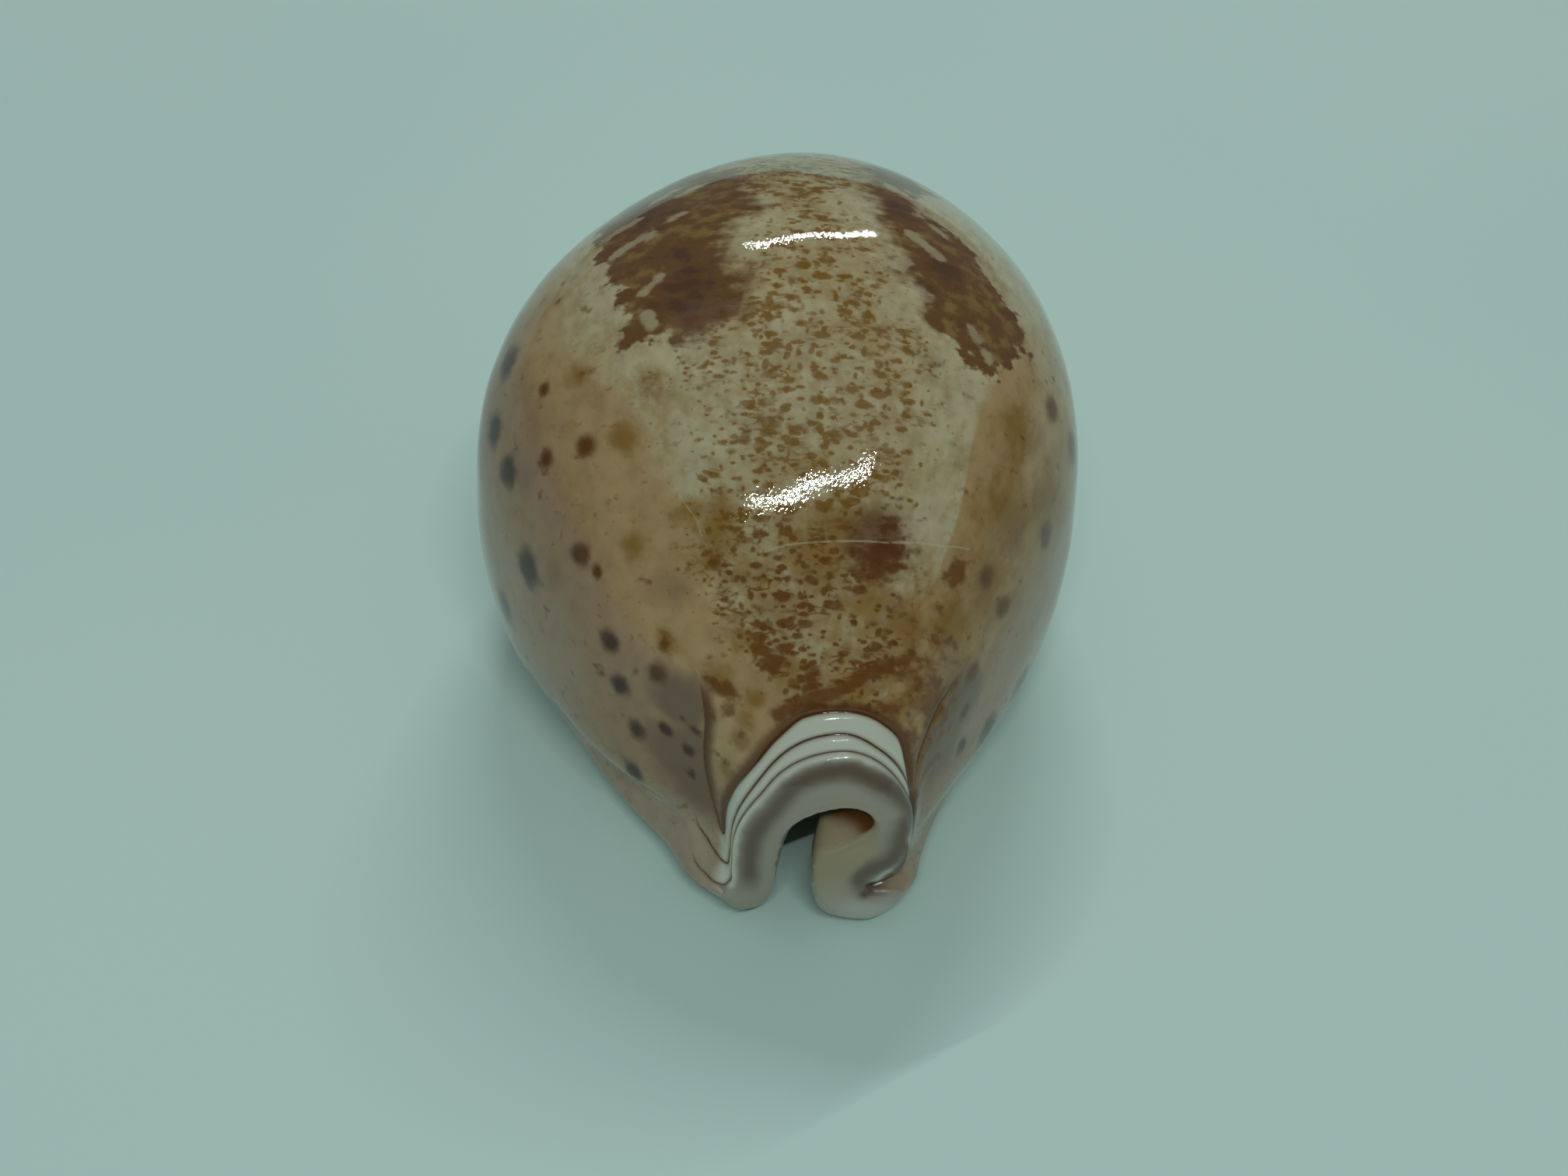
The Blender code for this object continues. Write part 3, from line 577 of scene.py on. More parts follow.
class Wall:
    """The shell's wall as a grid of points, with the guide place and y of each."""

    def __init__(self):
        self.columns = column_places()
        self.lattice_ys, self.lattice = loft_lattice(self.columns)
        self.y = row_heights(self.columns)
        self.guide = np.broadcast_to(self.columns, self.y.shape)
        self.points = np.zeros(self.y.shape + (3,))
        self.points[..., 1] = self.y
        for k in range(len(self.columns)):
            for axis, part in ((0, 0), (2, 1)):
                self.points[:, k, axis] = np.interp(self.y[:, k], self.lattice_ys,
                                                    self.lattice[:, k, part])

    def place(self, guide, y):
        """The point of the plain wall at a guide place and a y."""
        row = np.interp(y, self.lattice_ys, np.arange(len(self.lattice_ys)))
        column = np.interp(guide, self.columns, np.arange(len(self.columns)))
        low_row, low_column = int(row), int(column)
        next_row = min(low_row + 1, len(self.lattice_ys) - 1)
        next_column = (low_column + 1) % len(self.columns)
        near = self.lattice[low_row] + (row - low_row) * (self.lattice[next_row]
                                                          - self.lattice[low_row])
        x, z = near[low_column] + (column - low_column) * (near[next_column] - near[low_column])
        return np.array((x, y, z))

    def path(self, turns):
        """A row of points of the wall on a smooth curve through the turns."""
        return self.row(smooth_turns(turns))

    def row(self, places):
        return np.array([self.place(g, y) for g, y in places])


def distance_to_path(points, path):
    """Shortest distance of each point to a row of points joined by straight lines."""
    nearest = np.full(len(points), np.inf)
    for start, end in zip(path[:-1], path[1:]):
        step = end - start
        gap = points - start
        t = np.clip(gap @ step / max(step @ step, 1e-9), 0, 1)
        nearest = np.minimum(nearest, ((gap - t[:, None] * step) ** 2).sum(axis=1))
    return np.sqrt(nearest)


def inside_outline(guides, ys, outline):
    """Which places lie inside an outline drawn in guide places and y."""
    return inside_loop(np.column_stack([guides, ys]), outline)


def clouds(points, wall, marks, softness):
    """How deep each point lies in soft round marks, from nought to one."""
    depth = np.zeros(len(points))
    for guide, y, radius in marks:
        distance = np.linalg.norm(points - wall.place(guide, y), axis=1)
        depth = np.maximum(depth, 1 - smoothstep(distance, radius * (1 - 0.5 * softness),
                                                 radius * (1 + 0.5 * softness)))
    return depth


def tooth_wave(heights, row, shift):
    """Height of a row of teeth at every y, from -0.4 between teeth to 0.6 on them."""
    fade = np.minimum((heights - row[0]) / TOOTH_FADE, (row[1] - heights) / TOOTH_FADE)
    wave = 0.5 + 0.5 * np.cos(2 * np.pi * (heights - OUTER_TEETH[0]) / TOOTH_PITCH + shift)
    return np.clip(fade, 0, 1) * (wave ** 0.8 - 0.4)


def tooth_reach(heights, places, inside, outside, shift):
    """Where teeth stand on a lip: from inside the mouth to a little way over the base."""
    number = np.round((heights - OUTER_TEETH[0]) / TOOTH_PITCH + shift / (2 * np.pi))
    longer = 0.22 * np.sin(number * 2.4) + 0.12 * np.sin(number * 5.1)
    toward = 1 if outside > inside else -1
    from_inside = toward * (places - inside)
    from_outside = toward * (outside - places) + longer
    return smoothstep(from_inside, 0.0, 0.8) * smoothstep(from_outside, 0.0, 0.9)


def tooth_relief(guides, ys):
    """Both rows of teeth: above nought on a tooth and below it between two."""
    centred = (guides + GUIDE_COUNT / 2) % GUIDE_COUNT - GUIDE_COUNT / 2
    outer = tooth_wave(ys, OUTER_TEETH, 0.0) * tooth_reach(ys, centred, -1.0, 2.4, 0.0)
    inner = tooth_wave(ys, INNER_TEETH, math.pi) * tooth_reach(ys, guides, 23.0, 19.7, math.pi)
    return outer + inner


def undulation(points):
    """Slow unevenness of the whole surface."""
    x, y, z = points.T
    return (0.05 * np.sin(0.31 * x + 0.17 * y + 1.0) * np.sin(0.23 * y - 0.19 * z)
            + 0.03 * np.sin(0.71 * y + 0.33 * x + 2.0) * np.sin(0.47 * z + 0.39 * x))


def line_reaches(guides, ys):
    """How strongly each growth line shows, by name; all end above the canal."""
    in_right_arm = 1 - smoothstep(ys, -31.0, -28.0)
    reaches = {}
    for name, (arm, line, top) in GROWTH_LINES.items():
        in_left_arm = 1 - smoothstep(ys, top - 0.6, top + 0.6)
        reaches[name] = np.where(guides < 12, in_left_arm, in_right_arm)
    return reaches


def line_distances(points, guides, ys, wall):
    """Distance of each point to each growth line, by name, above nought behind it."""
    distances = {}
    for name, (arm, line, top) in GROWTH_LINES.items():
        places = growth_line(arm, line)
        far = ((places[-1][0], 50.0), (places[0][0], 50.0))
        behind = inside_outline(guides, ys, np.concatenate([places, far]))
        distance = distance_to_path(points, wall.row(places))
        distances[name] = np.where(behind, distance, -distance)
    return distances


def round_groove(distance, width):
    """Nought away from a line and one in its middle, with round shoulders."""
    return (1 - np.clip(np.abs(distance) / width, 0, 1)) ** 2.2


def canal_relief(points, guides, ys, wall):
    """Height of the growth lines, the groove and the ledges round the front canal."""
    lift = np.zeros(len(points))
    near = ys < -20
    p, g, y = points[near], guides[near], ys[near]
    distances, reaches = line_distances(p, g, y, wall), line_reaches(g, y)
    deep = LINE_DEPTH * (0.35 + 0.65 * smoothstep(-y, 33.6, 35.4))
    for name in GROWTH_LINES:
        lift[near] -= deep * reaches[name] * round_groove(distances[name], LINE_SHOULDER)
    groove = distance_to_path(p, wall.path(GROOVE))
    lift[near] -= GROOVE_DEPTH * np.exp(-(groove / 0.5) ** 2)
    for ledge in (LEFT_LEDGE, RIGHT_LEDGE):
        distance = distance_to_path(p, wall.path(ledge))
        fade = 1 - smoothstep(y, -27.0, -22.0)
        lift[near] += LEDGE_HEIGHT * fade * (np.exp(-(distance / 0.35) ** 2)
                                             - 0.5 * np.exp(-(distance / 1.1) ** 2))
    return lift


def shell_wall():
    """The wall with all its relief."""
    wall = Wall()
    guides, ys = wall.guide.ravel(), wall.y.ravel()
    points = wall.points.reshape(-1, 3)
    calm = between(guides, (4.0, 7.0), (15.0, 18.0)) * smoothstep(ys, -34.0, -26.0)
    dimple = np.linalg.norm(points - wall.place(*SPIRE[:2]), axis=1) / SPIRE[2]
    lift = TOOTH_HEIGHT * tooth_relief(guides, ys) + calm * undulation(points)
    lift += canal_relief(points, guides, ys, wall)
    lift -= SPIRE[3] * np.exp(-dimple ** 2)
    normals = surface_normals(wall.points).reshape(-1, 3)
    lifted = points + normals * lift[:, None]
    lifted[:, 2] = resting(lifted[:, 2])
    return wall, lifted


def resting(z):
    """Heights with the base eased onto the ground plane."""
    ease = 0.3
    eased = (z + np.sqrt(z * z + ease * ease)) / 2
    return eased - eased.min()


def distance_to_loop(points, loop):
    """Shortest distance in the plane from each point to a closed outline."""
    return distance_to_path(points, np.concatenate([loop, loop[:1]]))


def inside_loop(points, loop):
    """Which points of the plane lie inside a closed outline."""
    inside = np.zeros(len(points), bool)
    following = np.roll(loop, -1, axis=0)
    for (x1, z1), (x2, z2) in zip(loop, following):
        crosses = (z1 > points[:, 1]) != (z2 > points[:, 1])
        if z1 != z2:
            at_x = x1 + (points[:, 1] - z1) * (x2 - x1) / (z2 - z1)
            inside ^= crosses & (points[:, 0] < at_x)
    return inside


def cap(loop, spacing):
    """A filled outline: its own points first, then points inside, and its triangles."""
    across = np.roll(loop, -1, axis=0) - np.roll(loop, 1, axis=0)
    across /= np.linalg.norm(across, axis=1)[:, None]
    inward = np.column_stack([across[:, 1], -across[:, 0]])
    inner = []
    for depth in CAP_ROWS:
        ring = loop + inward * depth
        kept = inside_loop(ring, loop) & (distance_to_loop(ring, loop) > 0.93 * depth)
        inner.append(ring[kept])
    low, high = loop.min(axis=0), loop.max(axis=0)
    xs = np.arange(low[0], high[0], spacing)
    zs = np.arange(low[1], high[1], spacing * 0.87)
    grid = np.array([(x + (k % 2) * spacing / 2, z) for k, z in enumerate(zs) for x in xs])
    kept = inside_loop(grid, loop) & (distance_to_loop(grid, loop) > CAP_ROWS[-1] + spacing * 0.5)
    inner.append(grid[kept])
    points = np.concatenate([loop] + inner)
    count = len(loop)
    edges = [(i, (i + 1) % count) for i in range(count)]
    found = delaunay_2d_cdt([Vector(p) for p in points], edges, [], 1, 1e-7)
    coordinates = np.array([tuple(p) for p in found[0]])
    source = [original[0] if original else -1 for original in found[3]]
    return coordinates, source, found[2]


def front_bulge(flat, loop, guides):
    """How far the rim round the front canal stands out over its flat outline."""
    outer = (guides >= LEFT_CREASE) & (guides <= RIGHT_BULGE + 0.3)
    rest = np.roll(loop, -np.argmax(guides > RIGHT_BULGE + 0.3), axis=0)[:(~outer).sum() + 1]
    from_inside = distance_to_path(flat, rest)
    slope = np.clip(distance_to_path(flat, loop[outer]) / RIM_SLOPE, 0, 1)
    width = RIM_ROUND[0] + (RIM_ROUND[1] - RIM_ROUND[0]) * (1 - smoothstep(flat[:, 1], 5, 11))
    round_in = np.clip(from_inside / width, 0, 1)
    pocket = np.linalg.norm(flat - np.array(POCKET), axis=1) / POCKET_RADIUS
    rise = (1 - (1 - slope) ** 2) * np.sqrt(1 - (1 - round_in) ** 2)
    height, place, reach = RIM_LIP
    lip = height * np.exp(-((from_inside - place) / reach) ** 2)
    lip *= smoothstep(flat[:, 1], 12.0, 14.5)
    return RIM_OUT * rise + lip * slope - POCKET_DEPTH * np.exp(-pocket ** 2) * round_in


def hind_bulge(flat, loop, guides):
    """How far the rim round the hind canal stands out over its flat outline."""
    out, width = HIND_RIM
    depth = np.minimum(distance_to_loop(flat, loop), width) / width
    return out * np.sqrt(np.clip(1 - (1 - depth) ** 2, 0, 1))


class Body:
    """Vertices and faces of the whole shell, with the guide place and y of every vertex."""

    def __init__(self):
        self.wall, points = shell_wall()
        rows, columns = self.wall.y.shape
        self.vertices = list(points)
        self.guides = list(self.wall.guide.ravel())
        self.ys = list(self.wall.y.ravel())
        j, i = np.meshgrid(np.arange(rows - 1), np.arange(columns), indexing="ij")
        k = (i + 1) % columns
        quads = np.stack([j * columns + i, j * columns + k, (j + 1) * columns + k,
                          (j + 1) * columns + i], axis=-1).reshape(-1, 4)
        self.faces = [tuple(q) for q in quads.tolist()]
        self.wall_count = len(self.vertices)
        self.close(0, points[:columns], -1, front_bulge, FRONT_GRID)
        self.front_count = len(self.vertices)
        self.close((rows - 1) * columns, points[-columns:], 1, hind_bulge, HIND_GRID)

    def close(self, first, ring, direction, bulge, spacing):
        """Closes one end of the wall; first is its ring's first vertex."""
        loop = ring[:, [0, 2]]
        flat, source, triangles = cap(loop, spacing)
        y = ring[0, 1] + direction * bulge(flat, loop, self.wall.columns)
        number = {}
        for k, original in enumerate(source):
            if 0 <= original < len(loop):
                number[k] = first + original
            else:
                number[k] = len(self.vertices)
                self.vertices.append(np.array((flat[k, 0], y[k], flat[k, 1])))
                nearest = np.argmin(((loop - flat[k]) ** 2).sum(axis=1))
                self.guides.append(self.wall.columns[nearest])
                self.ys.append(y[k])
        for a, b, c in triangles:
            step_b, step_c = flat[b] - flat[a], flat[c] - flat[a]
            turn = step_b[0] * step_c[1] - step_b[1] * step_c[0]
            # In the x, z plane a right-handed turn faces -y.
            if (turn > 0) == (direction < 0):
                self.faces.append((number[a], number[b], number[c]))
            else:
                self.faces.append((number[a], number[c], number[b]))


def table(rows, ys):
    """Values of a table of pairs, y first, at many y."""
    at_ys, values = np.array(rows).T
    return np.interp(ys, at_ys, values)


def ahead_of_wall(places, gap):
    """Points a gap ahead of the wall's front, from x and z."""
    return np.array([(x, STATION[0] - gap, z) for x, z in places])


def canal_fields(points, guides, ys, wall, in_front):
    """Growth lines and rim colours near the front canal, and painted shade in the groove under the
    hook.
    """
    fields = {}
    distances = line_distances(points, guides, ys, wall)
    for name, reach in line_reaches(guides, ys).items():
        fields[name] = np.where(in_front, -np.abs(distances[name]), distances[name])
        fields[name + "_ink"] = reach
    arm_guides, arm_ys = np.array(CALLUS_ARM).T
    behind_arm = ys - np.interp(guides, arm_guides, arm_ys)
    past_arm = (guides < arm_guides[-1]) * smoothstep(behind_arm, -1.1, 0.2)
    past_pinch = (guides > 14.2) * smoothstep(ys, -36.4, -35.9)
    on_rim = between(guides, (4.0, 4.6), (15.3, 15.8)) * (1 - smoothstep(ys, -34.7, -34.4))
    fields["lamella"] = np.where(in_front, 1.0, on_rim * (1 - past_arm) * (1 - past_pinch))
    front_guides = np.arange(5.0, 14.9, 0.3)
    over_arch = tuple(zip(front_guides, curve(LINE_GUIDES, FRONT_LINE, front_guides)))
    rim = np.concatenate([wall.path(over_arch + RIM_EDGE), ahead_of_wall(RIM_EDGE_IN_FRONT, 0.6)])
    from_edge = distance_to_path(points, rim)
    before_line = (fields["front_line"] < 0) & (guides > 4.3) & (guides < 16.6) & (ys < -35.5)
    fields["rim"] = np.where(in_front | before_line | (guides > 19.5), from_edge, -from_edge)
    # The groove under the rim's hook is darkened with painted shade, darkest along its bottom.
    on_wall = distance_to_path(points, wall.path(GROOVE)) / 1.15
    over_end = distance_to_path(points, ahead_of_wall(GROOVE_IN_FRONT, 0.5)) / 0.6
    fields["groove"] = np.exp(-np.minimum(on_wall, over_end) ** 2)
    return fields


def ground_fields(guides, ys):
    """Where the back is dotted, tan, fawn and grey."""
    fields = {}
    fields["dots"] = (smoothstep(guides - table(DOTS_LEFT, ys), -0.8, 0.6)
                      * smoothstep(table(DOTS_RIGHT, ys) - guides, -0.5, 0.6))
    softness = 0.5 - 0.42 * smoothstep(-ys, 5.0, 17.0)
    right = smoothstep((guides - table(MANTLE_LINE, ys)) / softness, 0.0, 1.0)
    left = smoothstep(table(CREAM_EDGE, ys) - guides, -0.4, 0.8)
    fields["tan"] = np.maximum(left, right * (1 - 0.5 * smoothstep(ys, -8.0, 0.0)))
    fawn = np.maximum(smoothstep(8.9 - guides, 0.0, 1.4), smoothstep(guides, 14.0, 15.2))
    margin = np.maximum(smoothstep(6.9 - guides, 0.0, 1.6), smoothstep(guides, 15.2, 16.6))
    # The cream runs on between the last growth line's left arm and the arch.
    triangle = smoothstep(-ys, 29.5, 32.5) * smoothstep(guides, 6.0, 7.4) * (guides < 12)
    fields["fawn"] = fawn * (1 - 0.9 * triangle)
    fields["margin"] = margin * (1 - triangle)
    fields["low"] = np.maximum(fawn, triangle * (guides < 9))
    fields["crownward"] = 1 - smoothstep(np.abs(guides - 11.1), 0.7, 1.5)
    return fields


def mark_fields(points, guides, ys, wall):
    """The stained front, and how far each point lies in the marks, blotches, gaps and streak."""
    fields = {name: clouds(points, wall, *marks) for name, marks in CLOUDS.items()}
    fields["left_callus"] *= guides < 9
    fields["right_callus"] *= guides > 14
    before_pinch = 1 - smoothstep(guides, 14.3, 15.1)
    fields["front"] = smoothstep(-ys, 20.5, 27.0) * smoothstep(guides, 9.1, 10.4)
    right_front = smoothstep(-ys, 24.0, 31.0) * smoothstep(guides, 11.4, 13.0)
    fields["ochre"] = np.maximum(fields["ochre"], 0.5 * fields["front"] * before_pinch)
    fields["brown"] = np.maximum(fields["brown"], 0.6 * right_front * before_pinch)
    fields["blotch"] = np.full(len(points), -9.0)
    for outline in (LEFT_BLOTCH, RIGHT_BLOTCH, HIND_BLOTCH):
        outline = smooth_turns(outline + outline[:1])
        distance = distance_to_path(points, wall.row(outline))
        inside = inside_outline(guides, ys, outline)
        fields["blotch"] = np.maximum(fields["blotch"], np.where(inside, distance, -distance))
    fields["gap"] = np.full(len(points), 9.0)
    for guide, y, end_guide, end_y, radius in GAPS:
        ends = wall.row(((guide, y), (end_guide, end_y)))
        fields["gap"] = np.minimum(fields["gap"], distance_to_path(points, ends) - radius)
    streak = distance_to_path(points, wall.path(DARK_STREAK))
    fields["streak"] = np.exp(-(streak / 0.75) ** 2)
    return fields


def scratch_fields(guides, ys):
    """Signed distance to each scratch, far away wherever the scratch isn't."""
    long_guides, long_ys = np.array(LONG_SCRATCH).T
    short_guides, short_ys = np.array(SHORT_SCRATCH).T
    across_long = ys - np.interp(guides, long_guides, long_ys)
    across_short = 8 * (guides - np.interp(-ys, -short_ys, short_guides))
    on_long = (guides > long_guides[0]) & (guides < long_guides[-1]) & (np.abs(across_long) < 4)
    on_short = (ys < short_ys[0]) & (ys > short_ys[-1]) & (np.abs(across_short) < 4)
    return {"long_scratch": np.where(on_long, across_long, np.copysign(9.0, across_long)),
            "short_scratch": np.where(on_short, across_short, np.copysign(9.0, across_short))}


def under_fields(points, guides, ys, in_front):
    """The base, the teeth, the hollow, and painted shade over the pocket's top in the canal's hook.
    """
    x, z = points[:, 0], points[:, 2]
    on_wall = ~in_front
    left_base = between(guides, (-0.1, 0.3), (3.4, 4.4))
    right_base = between(guides, (17.6, 18.6), (22.4, 23.0))
    pillar = between(x, (3.0, 4.4), (9.6, 12.6)) * (1 - smoothstep(ys, -36.6, -33.0))
    pillar *= (in_front | (guides > 20)) * (1 - smoothstep(z, 13.0, 15.5))
    left_front = (1 - smoothstep(ys, -38.5, -37.3)) * (guides > 27)
    hollow = between(guides, (22.4, 23.6), (31.2, 31.9)) * (1 - smoothstep(ys, 39.7, 40.4))
    # The pocket's top gets painted shade, strongest high up under the rim's inner edge.
    pocket = between(guides, (22.4, 22.8), (28.0, 29.0)) * (1 - smoothstep(ys, -34.0, -32.0))
    return {"base": on_wall * np.maximum(left_base, right_base),
            "tooth_gap": smoothstep(-tooth_relief(guides, ys), 0.06, 0.34),
            "pillar": pillar,
            "inside": on_wall * hollow * (1 - np.maximum(pillar, left_front)),
            "pocket": on_wall * pocket * smoothstep(z, 11.6, 14.4)}


def shell_fields(body):
    """All fields of the mesh by name, one value for each vertex, taken on the plain wall."""
    points, guides, ys = np.array(body.vertices), np.array(body.guides), np.array(body.ys)
    points[:body.wall_count] = body.wall.points.reshape(-1, 3)
    number = np.arange(len(points))
    in_front = (number >= body.wall_count) & (number < body.front_count)
    fields = ground_fields(guides, ys)
    fields.update(mark_fields(points, guides, ys, body.wall))
    fields.update(canal_fields(points, guides, ys, body.wall, in_front))
    fields.update(under_fields(points, guides, ys, in_front))
    fields.update(scratch_fields(guides, ys))
    return fields


def shell_mesh():
    body = Body()
    mesh = bpy.data.meshes.new("cowrie_surface")
    shift = np.array(TABLES_TO_FRAME)
    mesh.from_pydata(((np.array(body.vertices) + shift) * MM).tolist(), [], body.faces)
    mesh.update()
    mesh.shade_smooth()
    for name, values in shell_fields(body).items():
        attribute = mesh.attributes.new(name, "FLOAT", "POINT")
        attribute.data.foreach_set("value", np.asarray(values, dtype=np.float32))
    return mesh


class Painter:
    """Adds nodes to one material, each kind through a short method."""

    def __init__(self, name):
        self.material = bpy.data.materials.new(name)
        self.material.use_nodes = True
        self.tree = self.material.node_tree
        self.shader = self.tree.nodes["Principled BSDF"]
        self.object_place = self.add("ShaderNodeTexCoord").outputs["Object"]

    def add(self, kind, **settings):
        node = self.tree.nodes.new(kind)
        for name, value in settings.items():
            setattr(node, name, value)
        return node

    def feed(self, socket, value):
        """Joins an output to a socket, or sets the socket's own value."""
        if isinstance(value, bpy.types.NodeSocket):
            self.tree.links.new(value, socket)
        elif isinstance(value, tuple) and socket.type == "RGBA":
            socket.default_value = value + (1.0,)
        else:
            socket.default_value = value

    def field(self, name):
        return self.add("ShaderNodeAttribute", attribute_name=name).outputs["Fac"]

    def math(self, operation, *values):
        node = self.add("ShaderNodeMath", operation=operation)
        for socket, value in zip(node.inputs, values):
            self.feed(socket, value)
        return node.outputs[0]

    def vector_math(self, *values):
        """The first vector times the second plus the third."""
        node = self.add("ShaderNodeVectorMath", operation="MULTIPLY_ADD")
        for socket, value in zip(node.inputs, values):
            self.feed(socket, value)
        return node.outputs[0]

    def step(self, value, low, high):
        """Nought below low, one above high, smooth between; falls where low is the greater."""
        node = self.add("ShaderNodeMapRange", interpolation_type="SMOOTHSTEP")
        falls = not isinstance(high, bpy.types.NodeSocket) and low > high
        self.feed(node.inputs["Value"], value)
        self.feed(node.inputs["From Min"], high if falls else low)
        self.feed(node.inputs["From Max"], low if falls else high)
        node.inputs["To Min"].default_value = 1.0 if falls else 0.0
        node.inputs["To Max"].default_value = 0.0 if falls else 1.0
        return node.outputs["Result"]

    def grain_place(self, size, stretch, shift):
        """Places counted in grains of a size in millimetres, longer along stretched axes."""
        scale = [1 / (MM * size * s) for s in stretch]
        return self.vector_math(self.object_place, scale, (shift, 1.7 * shift, 0.6 * shift))

    def noise(self, size, stretch=(1, 1, 1), shift=0.0, detail=2.0, warp=0.0):
        """Noise from about -0.5 to 0.5."""
        node = self.add("ShaderNodeTexNoise")
        self.feed(node.inputs["Vector"], self.grain_place(size, stretch, shift))
        node.inputs["Scale"].default_value = 1.0
        node.inputs["Detail"].default_value = detail
        node.inputs["Distortion"].default_value = warp
        return self.math("SUBTRACT", node.outputs["Fac"], 0.5)

    def cells(self, size, stretch, shift, warp):
        """Distance to the nearest of many scattered points, in grains, and a chance value of it."""
        place = self.grain_place(size, stretch, shift)
        bend = self.add("ShaderNodeTexNoise")
        self.feed(bend.inputs["Vector"], place)
        bend.inputs["Scale"].default_value = 1.3
        node = self.add("ShaderNodeTexVoronoi")
        bent = self.vector_math(bend.outputs["Color"], (warp, warp, warp), place)
        self.feed(node.inputs["Vector"], bent)
        node.inputs["Scale"].default_value = 1.0
        chance = self.add("ShaderNodeSeparateColor")
        self.feed(chance.inputs[0], node.outputs["Color"])
        return node.outputs["Distance"], chance.outputs[0]

    def shaken(self, value, *noises):
        """A value, or the field of a name, with noises added, each given with its amount."""
        if isinstance(value, str):
            value = self.field(value)
        for noise, amount in noises:
            value = self.math("MULTIPLY_ADD", noise, amount, value)
        return value

    def product(self, *values):
        result = values[0]
        for value in values[1:]:
            result = self.math("MULTIPLY", result, value)
        return result

    def blend(self, amount, under, over):
        node = self.add("ShaderNodeMix", data_type="RGBA", clamp_factor=True)
        self.feed(node.inputs["Factor"], amount)
        self.feed(node.inputs[6], under)
        self.feed(node.inputs[7], over)
        return node.outputs[2]

    def cover(self, under, over, value, low, high, *shares):
        """Paints a colour over another where a value is past low, and in full where past high."""
        return self.blend(self.product(self.step(value, low, high), *shares), under, over)


def ground_colour(paint):
    """Cream crown, tan and fawn flanks and the grey margins, all cloudy."""
    wide = paint.noise(7.0, shift=3.0)
    patch = paint.noise(2.6, stretch=(1, 1.6, 1), shift=11.0, detail=4.0, warp=0.3)
    fine = paint.noise(0.8, stretch=(1, 1.5, 1), shift=5.0, detail=3.0)
    cream = paint.shaken(fine, (wide, 1.2), (patch, 0.8))
    colour = paint.blend(paint.step(cream, -0.3, 0.4), CREAM, WARM_CREAM)
    tan = paint.shaken("tan", (wide, 0.7), (patch, 0.5))
    colour = paint.cover(colour, TAN, tan, 0.15, 0.95)
    fawn = paint.shaken("fawn", (wide, 0.7), (patch, 0.35))
    colour = paint.cover(colour, FAWN, fawn, 0.05, 0.85)
    margin = paint.shaken("margin", (wide, 0.5))
    colour = paint.cover(colour, MARGIN, margin, 0.1, 1.1)
    ochre = paint.shaken("ochre", (patch, 1.4), (fine, 0.7))
    colour = paint.cover(colour, OCHRE, ochre, -0.1, 1.2, 0.9)
    callus = paint.math("MAXIMUM", paint.field("left_callus"), paint.field("right_callus"))
    callus = paint.shaken(callus, (wide, 0.5), (patch, 0.4))
    before_line = paint.step(paint.field("back_line"), 0.05, -0.15)
    colour = paint.cover(colour, LILAC, callus, 0.1, 0.8, before_line, 0.9)
    plum = paint.shaken("plum", (wide, 0.6), (patch, 0.7))
    return paint.cover(colour, PLUM, plum, 0.1, 1.1, 0.4)


def dot_colour(paint, colour):
    """The small brown dots along the crown, many run together into chains."""
    crowd = paint.noise(3.2, shift=21.0)
    tint = paint.noise(1.3, shift=31.0)
    rough = paint.noise(0.45, shift=8.0, detail=3.0)
    density = paint.shaken("dots", (crowd, 1.3))
    colour = paint.cover(colour, STAIN, paint.shaken(density, (tint, 2.2)), 0.3, 1.5, 0.5)
    brown = paint.blend(paint.field("front"), DOT_BROWN, FRONT_BROWN)
    for size, stretch, shift, reach in DOT_LAYERS:
        distance, chance = paint.cells(size, stretch, shift, 0.45)
        edge = paint.shaken(distance, (rough, 0.3))
        share = paint.math("ADD", paint.product(chance, 0.85), 0.25)
        limit = paint.product(paint.step(density, -0.1, 1.35), share, reach)
        inside = paint.math("SUBTRACT", limit, edge)
        colour = paint.cover(colour, brown, inside, -0.12, 0.10, paint.step(tint, -0.6, 0.05), 0.9)
    ridge = paint.math("ABSOLUTE", paint.noise(1.0, (1.9, 0.75, 1.0), shift=51.0, detail=1.0))
    return paint.cover(colour, brown, ridge, 0.055, 0.02, paint.step(crowd, -0.05, 0.1),
                       paint.step(density, 0.3, 1.0), paint.step(tint, -0.15, 0.1), 0.8)


def blotch_colour(paint, colour):
    """The two ragged blotches with their pale gaps, and the brown marks in front of them."""
    streaks = paint.noise(1.2, stretch=(2.8, 1.0, 1.8), shift=4.0, detail=4.0, warp=0.4)
    mottle = paint.noise(1.2, stretch=(1.3, 1.0, 1.0), shift=14.0, detail=4.0)
    tone = paint.shaken("core", (mottle, 2.6), (streaks, 1.2))
    body = paint.blend(paint.step(tone, -0.45, 0.2), GOLDEN, BLOTCH_BROWN)
    body = paint.cover(body, CORE_BROWN, tone, 0.35, 1.2)
    gap = paint.shaken("gap", (mottle, 1.7), (streaks, 1.0))
    body = paint.cover(body, GAP_PALE, gap, 0.3, -0.25)
    edge = paint.shaken("blotch", (streaks, 3.6), (mottle, 3.6))
    softness = paint.math("MULTIPLY_ADD", paint.field("crownward"), 2.6, 0.45)
    colour = paint.cover(colour, body, edge, -0.15, softness, 0.95)
    brown = paint.shaken("brown", (mottle, 2.0), (streaks, 1.2))
    colour = paint.cover(colour, FRONT_BROWN, brown, 0.2, 0.9, 0.85)
    maroon = paint.shaken("maroon", (mottle, 0.7), (streaks, 0.3))
    colour = paint.cover(colour, MAROON, maroon, 0.1, 1.25, 0.95)
    streak = paint.shaken("streak", (mottle, 1.6), (streaks, 0.8))
    return paint.cover(colour, FRONT_BROWN, streak, 0.15, 0.85, 0.9)


